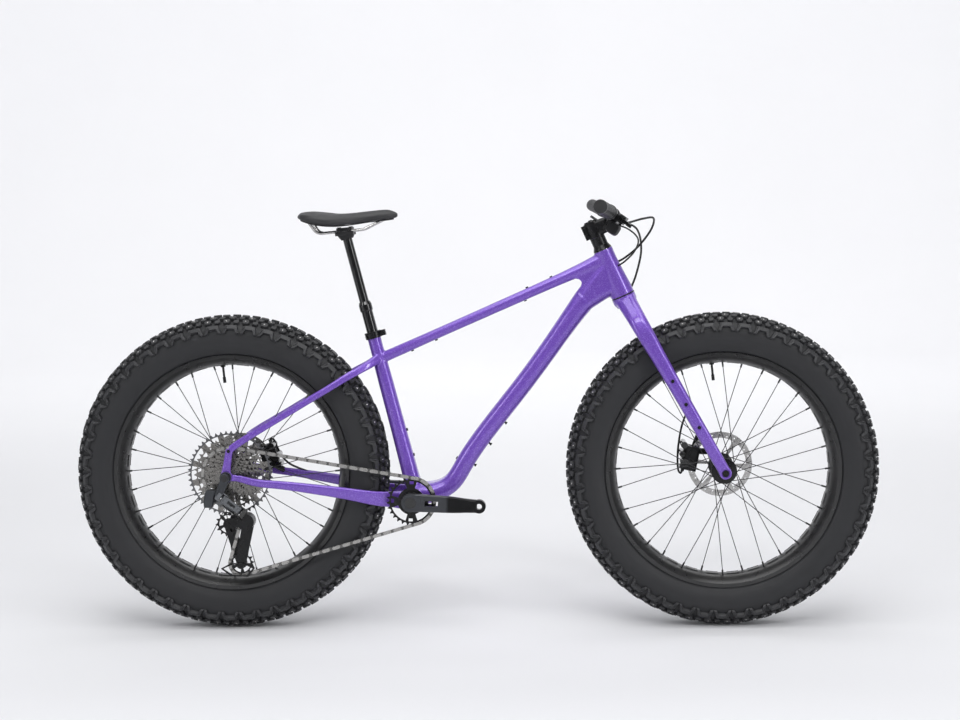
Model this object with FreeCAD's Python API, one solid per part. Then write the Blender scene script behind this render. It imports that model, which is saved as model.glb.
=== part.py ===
import FreeCAD, Part
import math
import os

from FreeCAD import Vector as V

# Fat tyre bicycle in millimetres: +X forward, +Y to the rider's left, +Z up, ground at Z = 0.

# Main layout
WHEELBASE = 1194.0
TYRE_RADIUS = 382.0
CHAINSTAY_RUN = 439.0
BB_DROP = 66.0
HEAD_ANGLE = 66.4
FORK_LENGTH = 483.5
FORK_OFFSET = 51.0
SEAT_ANGLE = 75.5
SEAT_AXIS_AHEAD = 7.0

# Clearances
RUNNING_CLEARANCE = 0.06
SEATED_CLEARANCE = 0.05
HOLE_CLEARANCE = 0.10
SIDE_CLEARANCE = 0.4

# Head tube and headset
HEAD_TUBE_LENGTH = 121.0
HEAD_TUBE_LOWER_RADIUS = 29.5
HEAD_TUBE_UPPER_RADIUS = 24.0
CROWN_GAP = 1.2
BEARING_HEIGHT = 8.0
LOWER_BEARING_RADIUS = 26.0
UPPER_BEARING_RADIUS = 20.9
STEERER_LOWER_RADIUS = 19.0
STEERER_RADIUS = 14.3
COVER_HEIGHT = 12.0
COVER_RADIUS = 22.5
SPACER_HEIGHT = 10.5
SPACER_RADIUS = 18.5
SPACER_COUNT = 2

# Frame tubes
TOP_TUBE_SEAT_ALONG = 348.0
TOP_TUBE_DEPTH = 24.5
TOP_TUBE_WIDTH = 38.0
TOP_TUBE_HEAD_DEPTH = 44.0
DOWN_TUBE_DEPTH = 45.0
DOWN_TUBE_WIDTH = 56.0
SEAT_TUBE_LENGTH = 409.0
SEAT_TUBE_TOP_RADIUS = 16.4
SEAT_TUBE_BASE_DEPTH = 39.0
BB_SHELL_RADIUS = 25.0
BB_SHELL_HALF_WIDTH = 50.0
BB_BORE_RADIUS = 20.5
WEB_HALF_WIDTH = 16.0
STAY_CORNER = 0.42
DROPOUT_THICKNESS = 9.0
DROPOUT_RADIUS = 14.5
RACK_BOLT_RADIUS = 4.0

# Seatpost and saddle
COLLAR_HEIGHT = 16.0
COLLAR_WALL = 3.6
POST_RADIUS = 13.6
POST_WALL = 1.5
POST_INSERTION = 210.0
POST_EXPOSED = 52.0
SEAL_HEAD_RADIUS = 15.8
SEAL_HEAD_HEIGHT = 24.0
STANCHION_RADIUS = 11.3
STANCHION_EXPOSED = 158.0
STANCHION_OVERLAP = 45.0
DROPPER_TRAVEL = 150.0
RAIL_ABOVE_STANCHION = 20.0
RAIL_RADIUS = 3.5
RAIL_SPREAD = 22.0
RAIL_TILT = 5.0
SADDLE_HALF_WIDTH = 71.0
SHELL_THICKNESS = 3.0

# Wheels
TYRE_PITCHES = 50
RIM_FLANGE_RADIUS = 286.0
RIM_INNER_RADIUS = 258.5
RIM_HALF_WIDTH = 41.0
RIM_WELL_DEPTH = 15.0
SPOKE_COUNT = 32
SPOKE_RADIUS = 1.0
SPOKE_CROSSES = 3
NIPPLE_RADIUS = 2.2
NIPPLE_LENGTH = 13.0
ROTOR_RADIUS = 80.0
ROTOR_THICKNESS = 1.8
FRONT_HUB_HALF = 75.0
REAR_HUB_HALF = 98.5
FRONT_ROTOR_Y = 59.0
REAR_ROTOR_Y = 82.0
FRONT_AXLE_RADIUS = 7.5
REAR_AXLE_RADIUS = 6.0
HUB_SHELL_RADIUS = 19.0
HUB_FLANGE_RADIUS = 31.0
FLANGE_HOLE_RADIUS = 27.5

# Drivetrain
CHAIN_PITCH = 12.7
ROLLER_RADIUS = 3.85
PLATE_RADIUS = 3.9
INNER_PLATE_FROM = 1.2
INNER_PLATE_TO = 1.8
OUTER_PLATE_FROM = 1.9
OUTER_PLATE_TO = 2.6
CHAINRING_TEETH = 28
CHAINRING_Y = -74.0
SPROCKETS = (10, 12, 14, 16, 18, 21, 24, 28, 32, 36, 42, 50)
DRIVEN_SPROCKET = 8
FIRST_SPROCKET_Y = -92.8
SPROCKET_SPACING = 3.6
SPROCKET_THICKNESS = 1.4
FREEHUB_RADIUS = 14.0
JOCKEY_TEETH = 14
CRANK_LENGTH = 165.0
CRANK_ANGLE = -2.6
SPINDLE_RADIUS = 14.5
CRANK_BOSS_RADIUS = 22.0
CRANK_TIP_RADIUS = 16.0
CRANK_INNER_Y = 84.0
CRANK_THICKNESS = 15.0
CRANK_FLARE = 12.0
PEDAL_THREAD_RADIUS = 7.14
EYE_SETBACK = 9.0
UPPER_JOCKEY_AHEAD = -4.7
UPPER_JOCKEY_BELOW = 121.0
LOWER_JOCKEY_AHEAD = 26.2
LOWER_JOCKEY_BELOW = 217.0
CAGE_PIVOT_AHEAD = 47.0
CAGE_PIVOT_BELOW = 107.0
KNUCKLE_RADIUS = 20.0
LINK_LENGTH = 46.0
LINK_SPREAD = 16.0
LINK_WIDTH = 18.0
LINK_PIN_RADIUS = 2.6

# Brakes
PAD_THICKNESS = 3.8
PAD_GAP = 0.4
CALIPER_HALF_WIDTH = 19.0
CALIPER_HALF_LENGTH = 30.0
CALIPER_SLOT_HALF = 7.5
REAR_CALIPER_ANGLE = 16.6
FRONT_CALIPER_ANGLE = 167.6

# Cockpit
STEM_REACH = 50.0
STEM_HEIGHT = 40.0
STEM_CLAMP_RADIUS = 19.0
BAR_CLAMP_RADIUS = 15.9
BAR_RADIUS = 11.1
BAR_HALF_WIDTH = 388.0
BAR_FLAT_HALF = 60.0
BAR_BEND_Y = 140.0
BAR_RISE = 12.0
BAR_FORWARD = 8.0
BAR_BACKSWEEP = 11.0
BAR_UPSWEEP = 6.0
GRIP_RADIUS = 15.8
GRIP_LENGTH = 132.0
LEVER_TILT = 34.0
LEVER_CLAMP_FROM_END = 147.0
SHIFTER_FROM_END = 182.0

# Fork
FORK_LEG_DEPTH_TOP = 44.0
FORK_LEG_DEPTH_MID = 31.0
FORK_DROPOUT_RADIUS = 15.0
FORK_DROPOUT_THICKNESS = 15.0
PACK_HOLE_RADIUS = 2.5
PACK_HOLE_DEPTH = 12.0
SCREW_SINK = 2.2
BOSS_SPACING = 64.0

# Reference points and directions
X = V(1, 0, 0)
Y = V(0, 1, 0)
Z = V(0, 0, 1)


def turned_up(degrees):
    angle = math.radians(degrees)
    return V(math.cos(angle), 0, math.sin(angle))


REAR = V(-WHEELBASE / 2, 0, TYRE_RADIUS)
FRONT = V(WHEELBASE / 2, 0, TYRE_RADIUS)
BB = REAR + V(CHAINSTAY_RUN, 0, -BB_DROP)
STEER_UP = turned_up(180 - HEAD_ANGLE)
STEER_AHEAD = turned_up(90 - HEAD_ANGLE)
CROWN = FRONT + STEER_UP * FORK_LENGTH - STEER_AHEAD * FORK_OFFSET
SEAT_UP = turned_up(180 - SEAT_ANGLE)
SEAT_AHEAD = turned_up(90 - SEAT_ANGLE)
SEAT_BASE = BB + X * SEAT_AXIS_AHEAD
HEAD_TOP = CROWN_GAP + HEAD_TUBE_LENGTH
STEM_FROM = HEAD_TOP + COVER_HEIGHT + SPACER_HEIGHT * SPACER_COUNT + SIDE_CLEARANCE
STEM_MIDDLE = STEM_FROM + STEM_HEIGHT / 2
POST_TOP = SEAT_TUBE_LENGTH + COLLAR_HEIGHT / 2 + POST_EXPOSED
SEAL_TOP = POST_TOP + SEAL_HEAD_HEIGHT
STANCHION_TOP = SEAL_TOP + STANCHION_EXPOSED
RAIL_ALONG = STANCHION_TOP + RAIL_ABOVE_STANCHION


def on_steer(along, ahead=0.0, y=0.0):
    return CROWN + STEER_UP * along + STEER_AHEAD * ahead + Y * y


def on_seat(along, ahead=0.0, y=0.0):
    return SEAT_BASE + SEAT_UP * along + SEAT_AHEAD * ahead + Y * y


def between(start, end, share):
    return start + (end - start) * share


SADDLE = on_seat(RAIL_ALONG)
BAR_CENTRE = on_steer(STEM_MIDDLE, STEM_REACH)
UPPER_JOCKEY = REAR + V(UPPER_JOCKEY_AHEAD, 0, -UPPER_JOCKEY_BELOW)
LOWER_JOCKEY = REAR + V(LOWER_JOCKEY_AHEAD, 0, -LOWER_JOCKEY_BELOW)
CAGE_PIVOT = REAR + V(CAGE_PIVOT_AHEAD, 0, -CAGE_PIVOT_BELOW)
COG_Y = FIRST_SPROCKET_Y + SPROCKET_SPACING * DRIVEN_SPROCKET
LEG_DOWN = (FRONT - CROWN).normalize()
LEG_AHEAD = V(-LEG_DOWN.z, 0, LEG_DOWN.x)
LEG_LENGTH = (FRONT - CROWN).Length


# Basic shapes
def cylinder(start, end, radius):
    axis = end - start
    return Part.makeCylinder(radius, axis.Length, start, axis)


def ring(start, end, outer, inner):
    return cylinder(start, end, outer).cut(cylinder(start, end, inner))


def disc(centre, y_from, y_to, radius):
    return cylinder(V(centre.x, y_from, centre.z), V(centre.x, y_to, centre.z), radius)


def washer(centre, y_from, y_to, outer, inner):
    return disc(centre, y_from, y_to, outer).cut(disc(centre, y_from, y_to, inner))


def polygon_wire(points):
    return Part.makePolygon(list(points) + [points[0]])


def prism(points, direction):
    return Part.Face(polygon_wire(points)).extrude(direction)


def plate(points, y_from, y_to):
    corners = [V(x, y_from, z) for x, z in points]
    return prism(corners, V(0, y_to - y_from, 0))


def block(centre, first, second, third, size_1, size_2, size_3):
    corner = centre - first * (size_1 / 2) - second * (size_2 / 2) - third * (size_3 / 2)
    points = [corner, corner + first * size_1, corner + first * size_1 + second * size_2,
              corner + second * size_2]
    return prism(points, third * size_3)


def turned(profile, base, axis):
    """Body turned about an axis; the profile is a list of (distance along the axis, radius)."""
    side = axis.cross(V(0, 0, 1))
    if side.Length < 0.1:
        side = axis.cross(V(1, 0, 0))
    side.normalize()
    points = [base + axis * along + side * radius for along, radius in profile]
    return Part.Face(polygon_wire(points)).revolve(base, axis, 360)


def rounded_wire(centre, across, deep, width, depth, corner):
    """Rounded rectangle as a closed wire, always started at the same corner."""
    radius = min(corner * min(width, depth), 0.499 * min(width, depth))
    half_w = width / 2
    half_d = depth / 2
    edges = []
    signs = ((1, 1), (-1, 1), (-1, -1), (1, -1))
    starts = []
    for sign_w, sign_d in signs:
        middle = centre + across * (sign_w * (half_w - radius)) + deep * (sign_d * (half_d - radius))
        to_side = middle + across * (sign_w * radius)
        to_face = middle + deep * (sign_d * radius)
        bulge = middle + (across * sign_w + deep * sign_d) * (radius * math.sqrt(0.5))
        pair = (to_side, to_face) if sign_w * sign_d > 0 else (to_face, to_side)
        starts.append((pair[0], bulge, pair[1]))
    for index in range(4):
        first, bulge, last = starts[index]
        edges.append(Part.Arc(first, bulge, last).toShape())
        edges.append(Part.LineSegment(last, starts[(index + 1) % 4][0]).toShape())
    return Part.Wire(edges)


def tube_section(point, slope, width, depth, corner=0.45):
    """Section of a frame tube whose run, seen from the side, climbs at the given slope."""
    return rounded_wire(point, Y, turned_up(slope + 90), width, depth, corner)


def loft(wires):
    return Part.makeLoft(wires, True, False)


def fused(shapes):
    return shapes[0].multiFuse(shapes[1:])


def group(shapes):
    solids = []
    for shape in shapes:
        solids.extend(shape.Solids)
    return Part.makeCompound(solids)


def mirrored(shape):
    return shape.mirror(V(0, 0, 0), Y)


def bent_path(points, bend):
    """Straight runs joined by tangent arcs of the given radius, less where a run is short."""
    edges = []
    here = points[0]
    for index in range(1, len(points) - 1):
        corner = points[index]
        before = (points[index - 1] - corner).normalize()
        after = (points[index + 1] - corner).normalize()
        half = before.getAngle(after) / 2
        room = 0.48 * min((points[index - 1] - corner).Length, (points[index + 1] - corner).Length)
        back = min(bend / math.tan(half), room)
        radius = back * math.tan(half)
        start = corner + before * back
        end = corner + after * back
        inward = (before + after).normalize()
        middle = corner + inward * (radius / math.sin(half) - radius)
        edges.append(Part.LineSegment(here, start).toShape())
        edges.append(Part.Arc(start, middle, end).toShape())
        here = end
    edges.append(Part.LineSegment(here, points[-1]).toShape())
    return Part.Wire(edges)


def bent_tube(points, radius, bend):
    path = bent_path(points, bend)
    start = points[0]
    direction = (points[1] - points[0]).normalize()
    profile = Part.Wire(Part.makeCircle(radius, start, direction))
    return path.makePipeShell([profile], True, False)


# Frame
def down_tube_points():
    low = BB + V(51, 0, 12)
    bend = BB + V(92, 0, 32)
    rise = BB + V(121, 0, 73)
    neck = on_steer(29.7, -89)
    return low, bend, rise, neck


def top_tube_ends():
    return on_seat(TOP_TUBE_SEAT_ALONG), on_steer(HEAD_TOP - TOP_TUBE_HEAD_DEPTH / 2 - 1)


def slope_of(start, end):
    return math.degrees(math.atan2(end.z - start.z, end.x - start.x))


def front_triangle():
    head = turned([(CROWN_GAP, 0), (CROWN_GAP, HEAD_TUBE_LOWER_RADIUS),
                   (CROWN_GAP + 16, HEAD_TUBE_LOWER_RADIUS - 0.5),
                   (HEAD_TOP - 30, HEAD_TUBE_UPPER_RADIUS - 0.3),
                   (HEAD_TOP, HEAD_TUBE_UPPER_RADIUS), (HEAD_TOP, 0)], CROWN, STEER_UP)
    seat_end, head_end = top_tube_ends()
    slope = slope_of(seat_end, head_end)
    steer_slope = 90 - HEAD_ANGLE
    top = loft([
        tube_section(seat_end, slope, 26, TOP_TUBE_DEPTH * 1.08),
        tube_section(between(seat_end, head_end, 0.12), slope, TOP_TUBE_WIDTH * 0.88,
                     TOP_TUBE_DEPTH * 1.03),
        tube_section(between(seat_end, head_end, 0.45), slope, TOP_TUBE_WIDTH, TOP_TUBE_DEPTH),
        tube_section(between(seat_end, head_end, 0.76), slope, TOP_TUBE_WIDTH, TOP_TUBE_DEPTH * 1.08),
        tube_section(between(seat_end, head_end, 0.9), slope, TOP_TUBE_WIDTH, TOP_TUBE_DEPTH * 1.32),
        tube_section(head_end, steer_slope, TOP_TUBE_WIDTH, TOP_TUBE_HEAD_DEPTH)])
    low, bend, rise, neck = down_tube_points()
    climb = slope_of(rise, neck)
    neck_wire = tube_section(neck, climb - 8, DOWN_TUBE_WIDTH * 0.95, DOWN_TUBE_DEPTH * 1.24)
    down = loft([
        tube_section(BB, 4, 84, DOWN_TUBE_DEPTH * 1.02),
        tube_section(low, 15, 78, DOWN_TUBE_DEPTH * 1.04),
        tube_section(bend, 40, DOWN_TUBE_WIDTH * 1.12, DOWN_TUBE_DEPTH),
        tube_section(rise, climb, DOWN_TUBE_WIDTH, DOWN_TUBE_DEPTH),
        tube_section(between(rise, neck, 0.45), climb, DOWN_TUBE_WIDTH, DOWN_TUBE_DEPTH),
        tube_section(between(rise, neck, 0.8), climb, DOWN_TUBE_WIDTH, DOWN_TUBE_DEPTH * 1.04),
        neck_wire])
    run_back = (rise - neck).normalize()
    gusset = Part.makeLoft([
        tube_section(neck + run_back * 12, climb - 4, DOWN_TUBE_WIDTH * 0.9, DOWN_TUBE_DEPTH * 1.1),
        tube_section(on_steer(46, -42), steer_slope + 9, 48, 74),
        tube_section(on_steer(CROWN_GAP + 54, -6), steer_slope, 42, 94)], True, True)
    seat = loft([
        tube_section(SEAT_BASE, 180 - SEAT_ANGLE, 62, SEAT_TUBE_BASE_DEPTH),
        tube_section(on_seat(90), 180 - SEAT_ANGLE, 46, SEAT_TUBE_BASE_DEPTH),
        tube_section(on_seat(220), 180 - SEAT_ANGLE, 37, 36.5),
        tube_section(on_seat(320), 180 - SEAT_ANGLE, 35, 35),
        tube_section(on_seat(SEAT_TUBE_LENGTH - 36), 180 - SEAT_ANGLE, 2 * SEAT_TUBE_TOP_RADIUS - 1.6,
                     2 * SEAT_TUBE_TOP_RADIUS - 1.6, 0.48)])
    seat_top = cylinder(on_seat(SEAT_TUBE_LENGTH - 60), on_seat(SEAT_TUBE_LENGTH), SEAT_TUBE_TOP_RADIUS)
    shell = disc(BB, -BB_SHELL_HALF_WIDTH, BB_SHELL_HALF_WIDTH, BB_SHELL_RADIUS)
    web_points = [on_steer(97, -86), on_steer(86.9, -91.2), on_steer(79.5, -81), on_steer(71, -78.5),
                  on_steer(63.5, -84), on_steer(57, -96.6), on_steer(45, -92), on_steer(50, -30),
                  on_steer(97, -30)]
    web = prism([p - Y * WEB_HALF_WIDTH for p in web_points], Y * (2 * WEB_HALF_WIDTH))
    body = fused([head, top, gusset, web, down, seat, seat_top, shell])
    steer_room = turned([(CROWN_GAP - 1, 0), (CROWN_GAP - 1, LOWER_BEARING_RADIUS),
                         (CROWN_GAP + BEARING_HEIGHT, LOWER_BEARING_RADIUS),
                         (CROWN_GAP + BEARING_HEIGHT, STEERER_LOWER_RADIUS + 3),
                         (HEAD_TOP - BEARING_HEIGHT, STEERER_RADIUS + 3),
                         (HEAD_TOP - BEARING_HEIGHT, UPPER_BEARING_RADIUS),
                         (HEAD_TOP + 1, UPPER_BEARING_RADIUS), (HEAD_TOP + 1, 0)], CROWN, STEER_UP)
    post_room = cylinder(on_seat(SEAT_TUBE_LENGTH - POST_INSERTION - 12), on_seat(SEAT_TUBE_LENGTH + 1),
                         POST_RADIUS + SEATED_CLEARANCE)
    slot = block(on_seat(SEAT_TUBE_LENGTH - 12, 12), SEAT_AHEAD, Y, SEAT_UP, 20, 2.4, 40)
    cup_room = disc(BB, -BB_SHELL_HALF_WIDTH - 1, BB_SHELL_HALF_WIDTH + 1, BB_BORE_RADIUS)
    return body.cut(steer_room).cut(post_room).cut(slot).cut(cup_room)


def stay_loft(rows):
    """Stay on the left side; each row is distance ahead of and above the rear axle, y, width, depth."""
    wires = []
    for index, (ahead, above, y, width, depth) in enumerate(rows):
        before = rows[max(index - 1, 0)]
        after = rows[min(index + 1, len(rows) - 1)]
        slope = math.degrees(math.atan2(after[1] - before[1], after[0] - before[0]))
        wires.append(tube_section(REAR + V(ahead, y, above), slope, width, depth, STAY_CORNER))
    return loft(wires)


def left_stays():
    middle_y = REAR_HUB_HALF + DROPOUT_THICKNESS / 2
    run = CHAINSTAY_RUN
    drop = -BB_DROP
    chainstay = stay_loft([
        (2, -2, middle_y, DROPOUT_THICKNESS, 18), (60, -13, middle_y - 3, 10, 18),
        (121, -21, 96, 12, 20), (200, -32, 88.5, 13.5, 24),
        (257, -41, 82.5, 13.5, 27), (run - 115, -54, 72.5, 12, 32), (run - 85, -60, 66, 11, 35),
        (run - 63, -63, 59, 10, 37), (run - 36, drop, 50, 13, 41), (run, drop, 38, 20, 46.5)])
    lean = SEAT_BASE + SEAT_UP * TOP_TUBE_SEAT_ALONG - REAR
    seatstay = stay_loft([
        (10, 66, middle_y, DROPOUT_THICKNESS, 17), (80, 111, middle_y - 4, 10.5, 16),
        (160, 158.5, 90, 12.5, 16),
        (225, 197, 79, 12.5, 16.5), (262, 219, 70.5, 12, 17), (287, 234, 62, 12, 18),
        (lean.x - 38, lean.z - 19, 45, 14, 19), (lean.x - 8, lean.z - 1, 19, 18, 23),
        (lean.x + 2, lean.z + 5, 8, 16, 24)])
    riser = loft([
        rounded_wire(REAR + V(-2, middle_y, 0), Y, X, DROPOUT_THICKNESS, 25, STAY_CORNER),
        rounded_wire(REAR + V(3, middle_y, 36), Y, X, DROPOUT_THICKNESS, 19, STAY_CORNER),
        rounded_wire(REAR + V(9, middle_y, 68), Y, X, DROPOUT_THICKNESS, 19, STAY_CORNER)])
    eye = disc(REAR, REAR_HUB_HALF, REAR_HUB_HALF + DROPOUT_THICKNESS, DROPOUT_RADIUS)
    body = fused([chainstay, seatstay, riser, eye])
    axle_room = disc(REAR, REAR_HUB_HALF - 5, REAR_HUB_HALF + DROPOUT_THICKNESS + 5,
                     REAR_AXLE_RADIUS + HOLE_CLEARANCE)
    shell_room = disc(BB, -BB_SHELL_HALF_WIDTH - 30, BB_SHELL_HALF_WIDTH + 30, BB_BORE_RADIUS)
    cup_room = disc(BB, BB_SHELL_HALF_WIDTH, BB_SHELL_HALF_WIDTH + 30, BB_SHELL_RADIUS + SIDE_CLEARANCE)
    hub_room = disc(REAR, REAR_HUB_HALF / 2, REAR_HUB_HALF, 2 * DROPOUT_RADIUS)
    post_room = cylinder(on_seat(200), on_seat(SEAT_TUBE_LENGTH + 1), POST_RADIUS + SEATED_CLEARANCE)
    return body.cut(axle_room).cut(shell_room).cut(cup_room).cut(hub_room).cut(post_room)


RACK_EYELET = REAR + V(6.5, 0, 62)


def frame():
    left = left_stays()
    return group([front_triangle(), left, mirrored(left)])


def bolt(point, outward, head_radius=3.6, head_height=3.0, shank=7.0):
    head = cylinder(point, point + outward * head_height, head_radius)
    return head.fuse(cylinder(point - outward * shank, point + outward * 0.5, 2.4))


def frame_bolts():
    bolts = []
    low, bend, rise, neck = down_tube_points()
    run = (neck - rise).normalize()
    over = V(-run.z, 0, run.x)
    half = DOWN_TUBE_DEPTH / 2
    for count in range(3):
        bolts.append(bolt(rise + run * (8 + BOSS_SPACING * count) + over * half, over))
        bolts.append(bolt(rise + run * (20 + BOSS_SPACING * count) - over * half, over * -1))
    for count in range(2):
        bolts.append(bolt(on_seat(100 + BOSS_SPACING * count, SEAT_TUBE_BASE_DEPTH / 2 - 0.6),
                          SEAT_AHEAD))
    seat_end, head_end = top_tube_ends()
    run = (head_end - seat_end).normalize()
    over = V(-run.z, 0, run.x)
    length = (head_end - seat_end).Length
    for count in range(2):
        bolts.append(bolt(seat_end + run * (82 + BOSS_SPACING * count) - over * (TOP_TUBE_DEPTH / 2),
                          over * -1))
        ahead = seat_end + run * (length * 0.66 + BOSS_SPACING * count)
        bolts.append(bolt(ahead + over * (TOP_TUBE_DEPTH * 0.52), over))
    bolts.append(bolt(seat_end + run * (length * 0.66 - 16) - over * (TOP_TUBE_DEPTH * 0.5), over * -1))
    for side in (-1, 1):
        bolts.append(bolt(RACK_EYELET + Y * (side * (REAR_HUB_HALF + DROPOUT_THICKNESS)), Y * side,
                          RACK_BOLT_RADIUS, 1.8))
    return group(bolts)


def seat_collar():
    low = SEAT_TUBE_LENGTH - COLLAR_HEIGHT / 2
    high = SEAT_TUBE_LENGTH + COLLAR_HEIGHT / 2
    inner = SEAT_TUBE_TOP_RADIUS + SEATED_CLEARANCE
    outer = inner + COLLAR_WALL
    band = ring(on_seat(low), on_seat(high), outer, inner)
    lip = ring(on_seat(SEAT_TUBE_LENGTH + SIDE_CLEARANCE), on_seat(high), outer,
               POST_RADIUS + HOLE_CLEARANCE)
    ears = block(on_seat(SEAT_TUBE_LENGTH, outer + 4), SEAT_AHEAD, Y, SEAT_UP, 14, 17,
                 COLLAR_HEIGHT * 0.86)
    body = fused([band, lip, ears])
    gap = block(on_seat(SEAT_TUBE_LENGTH, outer + 4), SEAT_AHEAD, Y, SEAT_UP, 24, 2.4, COLLAR_HEIGHT + 2)
    clear = cylinder(on_seat(low - 1), on_seat(SEAT_TUBE_LENGTH + SIDE_CLEARANCE), inner)
    body = body.cut(gap).cut(clear)
    pinch = cylinder(on_seat(SEAT_TUBE_LENGTH, outer + 5, -14), on_seat(SEAT_TUBE_LENGTH, outer + 5, 11),
                     2.5)
    head = cylinder(on_seat(SEAT_TUBE_LENGTH, outer + 5, -14), on_seat(SEAT_TUBE_LENGTH, outer + 5, -8.5),
                    4.5)
    return group([body, fused([pinch, head])])


def dropper_outer_tube():
    foot = SEAT_TUBE_LENGTH - POST_INSERTION
    tube = ring(on_seat(foot), on_seat(POST_TOP + 4), POST_RADIUS, POST_RADIUS - POST_WALL)
    floor = cylinder(on_seat(foot), on_seat(foot + 6), POST_RADIUS)
    seal = turned([(POST_TOP, STANCHION_RADIUS + RUNNING_CLEARANCE), (POST_TOP, SEAL_HEAD_RADIUS - 1.2),
                   (POST_TOP + 2, SEAL_HEAD_RADIUS), (SEAL_TOP - 7, SEAL_HEAD_RADIUS),
                   (SEAL_TOP, STANCHION_RADIUS + 2), (SEAL_TOP, STANCHION_RADIUS + RUNNING_CLEARANCE)],
                  SEAT_BASE, SEAT_UP)
    return fused([tube, floor, seal])


def headset_bearings():
    lower = ring(on_steer(CROWN_GAP), on_steer(CROWN_GAP + BEARING_HEIGHT - SEATED_CLEARANCE),
                 LOWER_BEARING_RADIUS - SEATED_CLEARANCE, STEERER_LOWER_RADIUS + RUNNING_CLEARANCE)
    upper = ring(on_steer(HEAD_TOP - BEARING_HEIGHT + SEATED_CLEARANCE), on_steer(HEAD_TOP),
                 UPPER_BEARING_RADIUS - SEATED_CLEARANCE, STEERER_RADIUS + RUNNING_CLEARANCE)
    return group([lower, upper])


def bottom_bracket_cups():
    inner = SPINDLE_RADIUS + RUNNING_CLEARANCE
    cup = turned([(BB_SHELL_HALF_WIDTH - 14, inner), (BB_SHELL_HALF_WIDTH - 14,
                                                      BB_BORE_RADIUS - SEATED_CLEARANCE),
                  (BB_SHELL_HALF_WIDTH + SEATED_CLEARANCE, BB_BORE_RADIUS - SEATED_CLEARANCE),
                  (BB_SHELL_HALF_WIDTH + SEATED_CLEARANCE, BB_SHELL_RADIUS - 1),
                  (BB_SHELL_HALF_WIDTH + 8, BB_SHELL_RADIUS - 2), (BB_SHELL_HALF_WIDTH + 8, inner)], BB,
                  Y)
    return group([cup, mirrored(cup)])


def thru_axle(centre, half, thickness, radius):
    """Hollow axle with its head on the left and a collar on the right."""
    right = -(half + thickness + 3)
    shaft = disc(centre, right, half + thickness, radius)
    head = disc(centre, half + thickness + SEATED_CLEARANCE, half + thickness + 4.5, radius + 3.5)
    neck = disc(centre, half + thickness - 1, half + thickness + 1, radius)
    key = disc(centre, half + thickness - 10, half + thickness + 5, 3.4)
    return fused([shaft, neck, head]).cut(key)


def rear_thru_axle():
    return thru_axle(REAR, REAR_HUB_HALF, DROPOUT_THICKNESS, REAR_AXLE_RADIUS)


def front_thru_axle():
    return thru_axle(FRONT, FRONT_HUB_HALF, FORK_DROPOUT_THICKNESS, FRONT_AXLE_RADIUS)


# Toothed wheels and chain
def pitch_radius(teeth):
    return CHAIN_PITCH / (2 * math.sin(math.pi / teeth))


def polar(centre, radius, angle):
    return V(centre.x + radius * math.cos(angle), centre.y, centre.z + radius * math.sin(angle))


def toothed_wire(centre, teeth, phase):
    """Sprocket outline; the gap for a roller is centred at the phase angle."""
    pitch = pitch_radius(teeth)
    seat = ROLLER_RADIUS + 0.15
    tip = pitch + 2.5
    step = 2 * math.pi / teeth
    gaps = []
    for index in range(teeth):
        angle = phase + step * index
        middle = polar(centre, pitch, angle)
        radial = V(math.cos(angle), 0, math.sin(angle))
        tangent = V(-math.sin(angle), 0, math.cos(angle))
        first = middle - radial * (seat * 0.5) - tangent * (seat * 0.866)
        last = middle - radial * (seat * 0.5) + tangent * (seat * 0.866)
        gaps.append((first, middle - radial * seat, last))
    edges = []
    for index in range(teeth):
        first, low, last = gaps[index]
        half_tip = 0.55 / tip
        tip_angle = phase + step * (index + 0.5)
        tip_1 = polar(centre, tip, tip_angle - half_tip)
        tip_2 = polar(centre, tip, tip_angle + half_tip)
        edges.append(Part.Arc(first, low, last).toShape())
        edges.append(Part.LineSegment(last, tip_1).toShape())
        edges.append(Part.LineSegment(tip_1, tip_2).toShape())
        edges.append(Part.LineSegment(tip_2, gaps[(index + 1) % teeth][0]).toShape())
    return Part.Wire(edges)


def sector_wire(centre, inner, outer, start, end):
    middle = (start + end) / 2
    return Part.Wire([
        Part.Arc(polar(centre, outer, start), polar(centre, outer, middle),
                 polar(centre, outer, end)).toShape(),
        Part.LineSegment(polar(centre, outer, end), polar(centre, inner, end)).toShape(),
        Part.Arc(polar(centre, inner, end), polar(centre, inner, middle),
                 polar(centre, inner, start)).toShape(),
        Part.LineSegment(polar(centre, inner, start), polar(centre, outer, start)).toShape()])


def flat_wheel(outer, holes, thickness):
    face = Part.makeFace([outer] + holes, "Part::FaceMakerBullseye")
    return face.extrude(Y * thickness)


def windows(centre, inner, outer, count, share, turn=0.0):
    wires = []
    for index in range(count):
        start = turn + 2 * math.pi * index / count
        wires.append(sector_wire(centre, inner, outer, start, start + 2 * math.pi / count * share))
    return wires


def circle_wire(centre, radius):
    return Part.Wire(Part.makeCircle(radius, centre, Y))


def chain_wheels():
    """Wheels in the order the chain meets them, with +1 for clockwise as seen from the right."""
    return ((BB, CHAINRING_TEETH, 1, CHAINRING_Y), (LOWER_JOCKEY, JOCKEY_TEETH, 1, COG_Y),
            (UPPER_JOCKEY, JOCKEY_TEETH, -1, COG_Y), (REAR, SPROCKETS[DRIVEN_SPROCKET], 1, COG_Y))


def run_angle(first, second):
    centre_1, teeth_1, sign_1 = first[:3]
    centre_2, teeth_2, sign_2 = second[:3]
    gap = centre_2 - centre_1
    lean = (sign_2 * pitch_radius(teeth_2) - sign_1 * pitch_radius(teeth_1)) / math.hypot(gap.x, gap.z)
    return math.atan2(gap.z, gap.x) + math.asin(lean)


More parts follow.
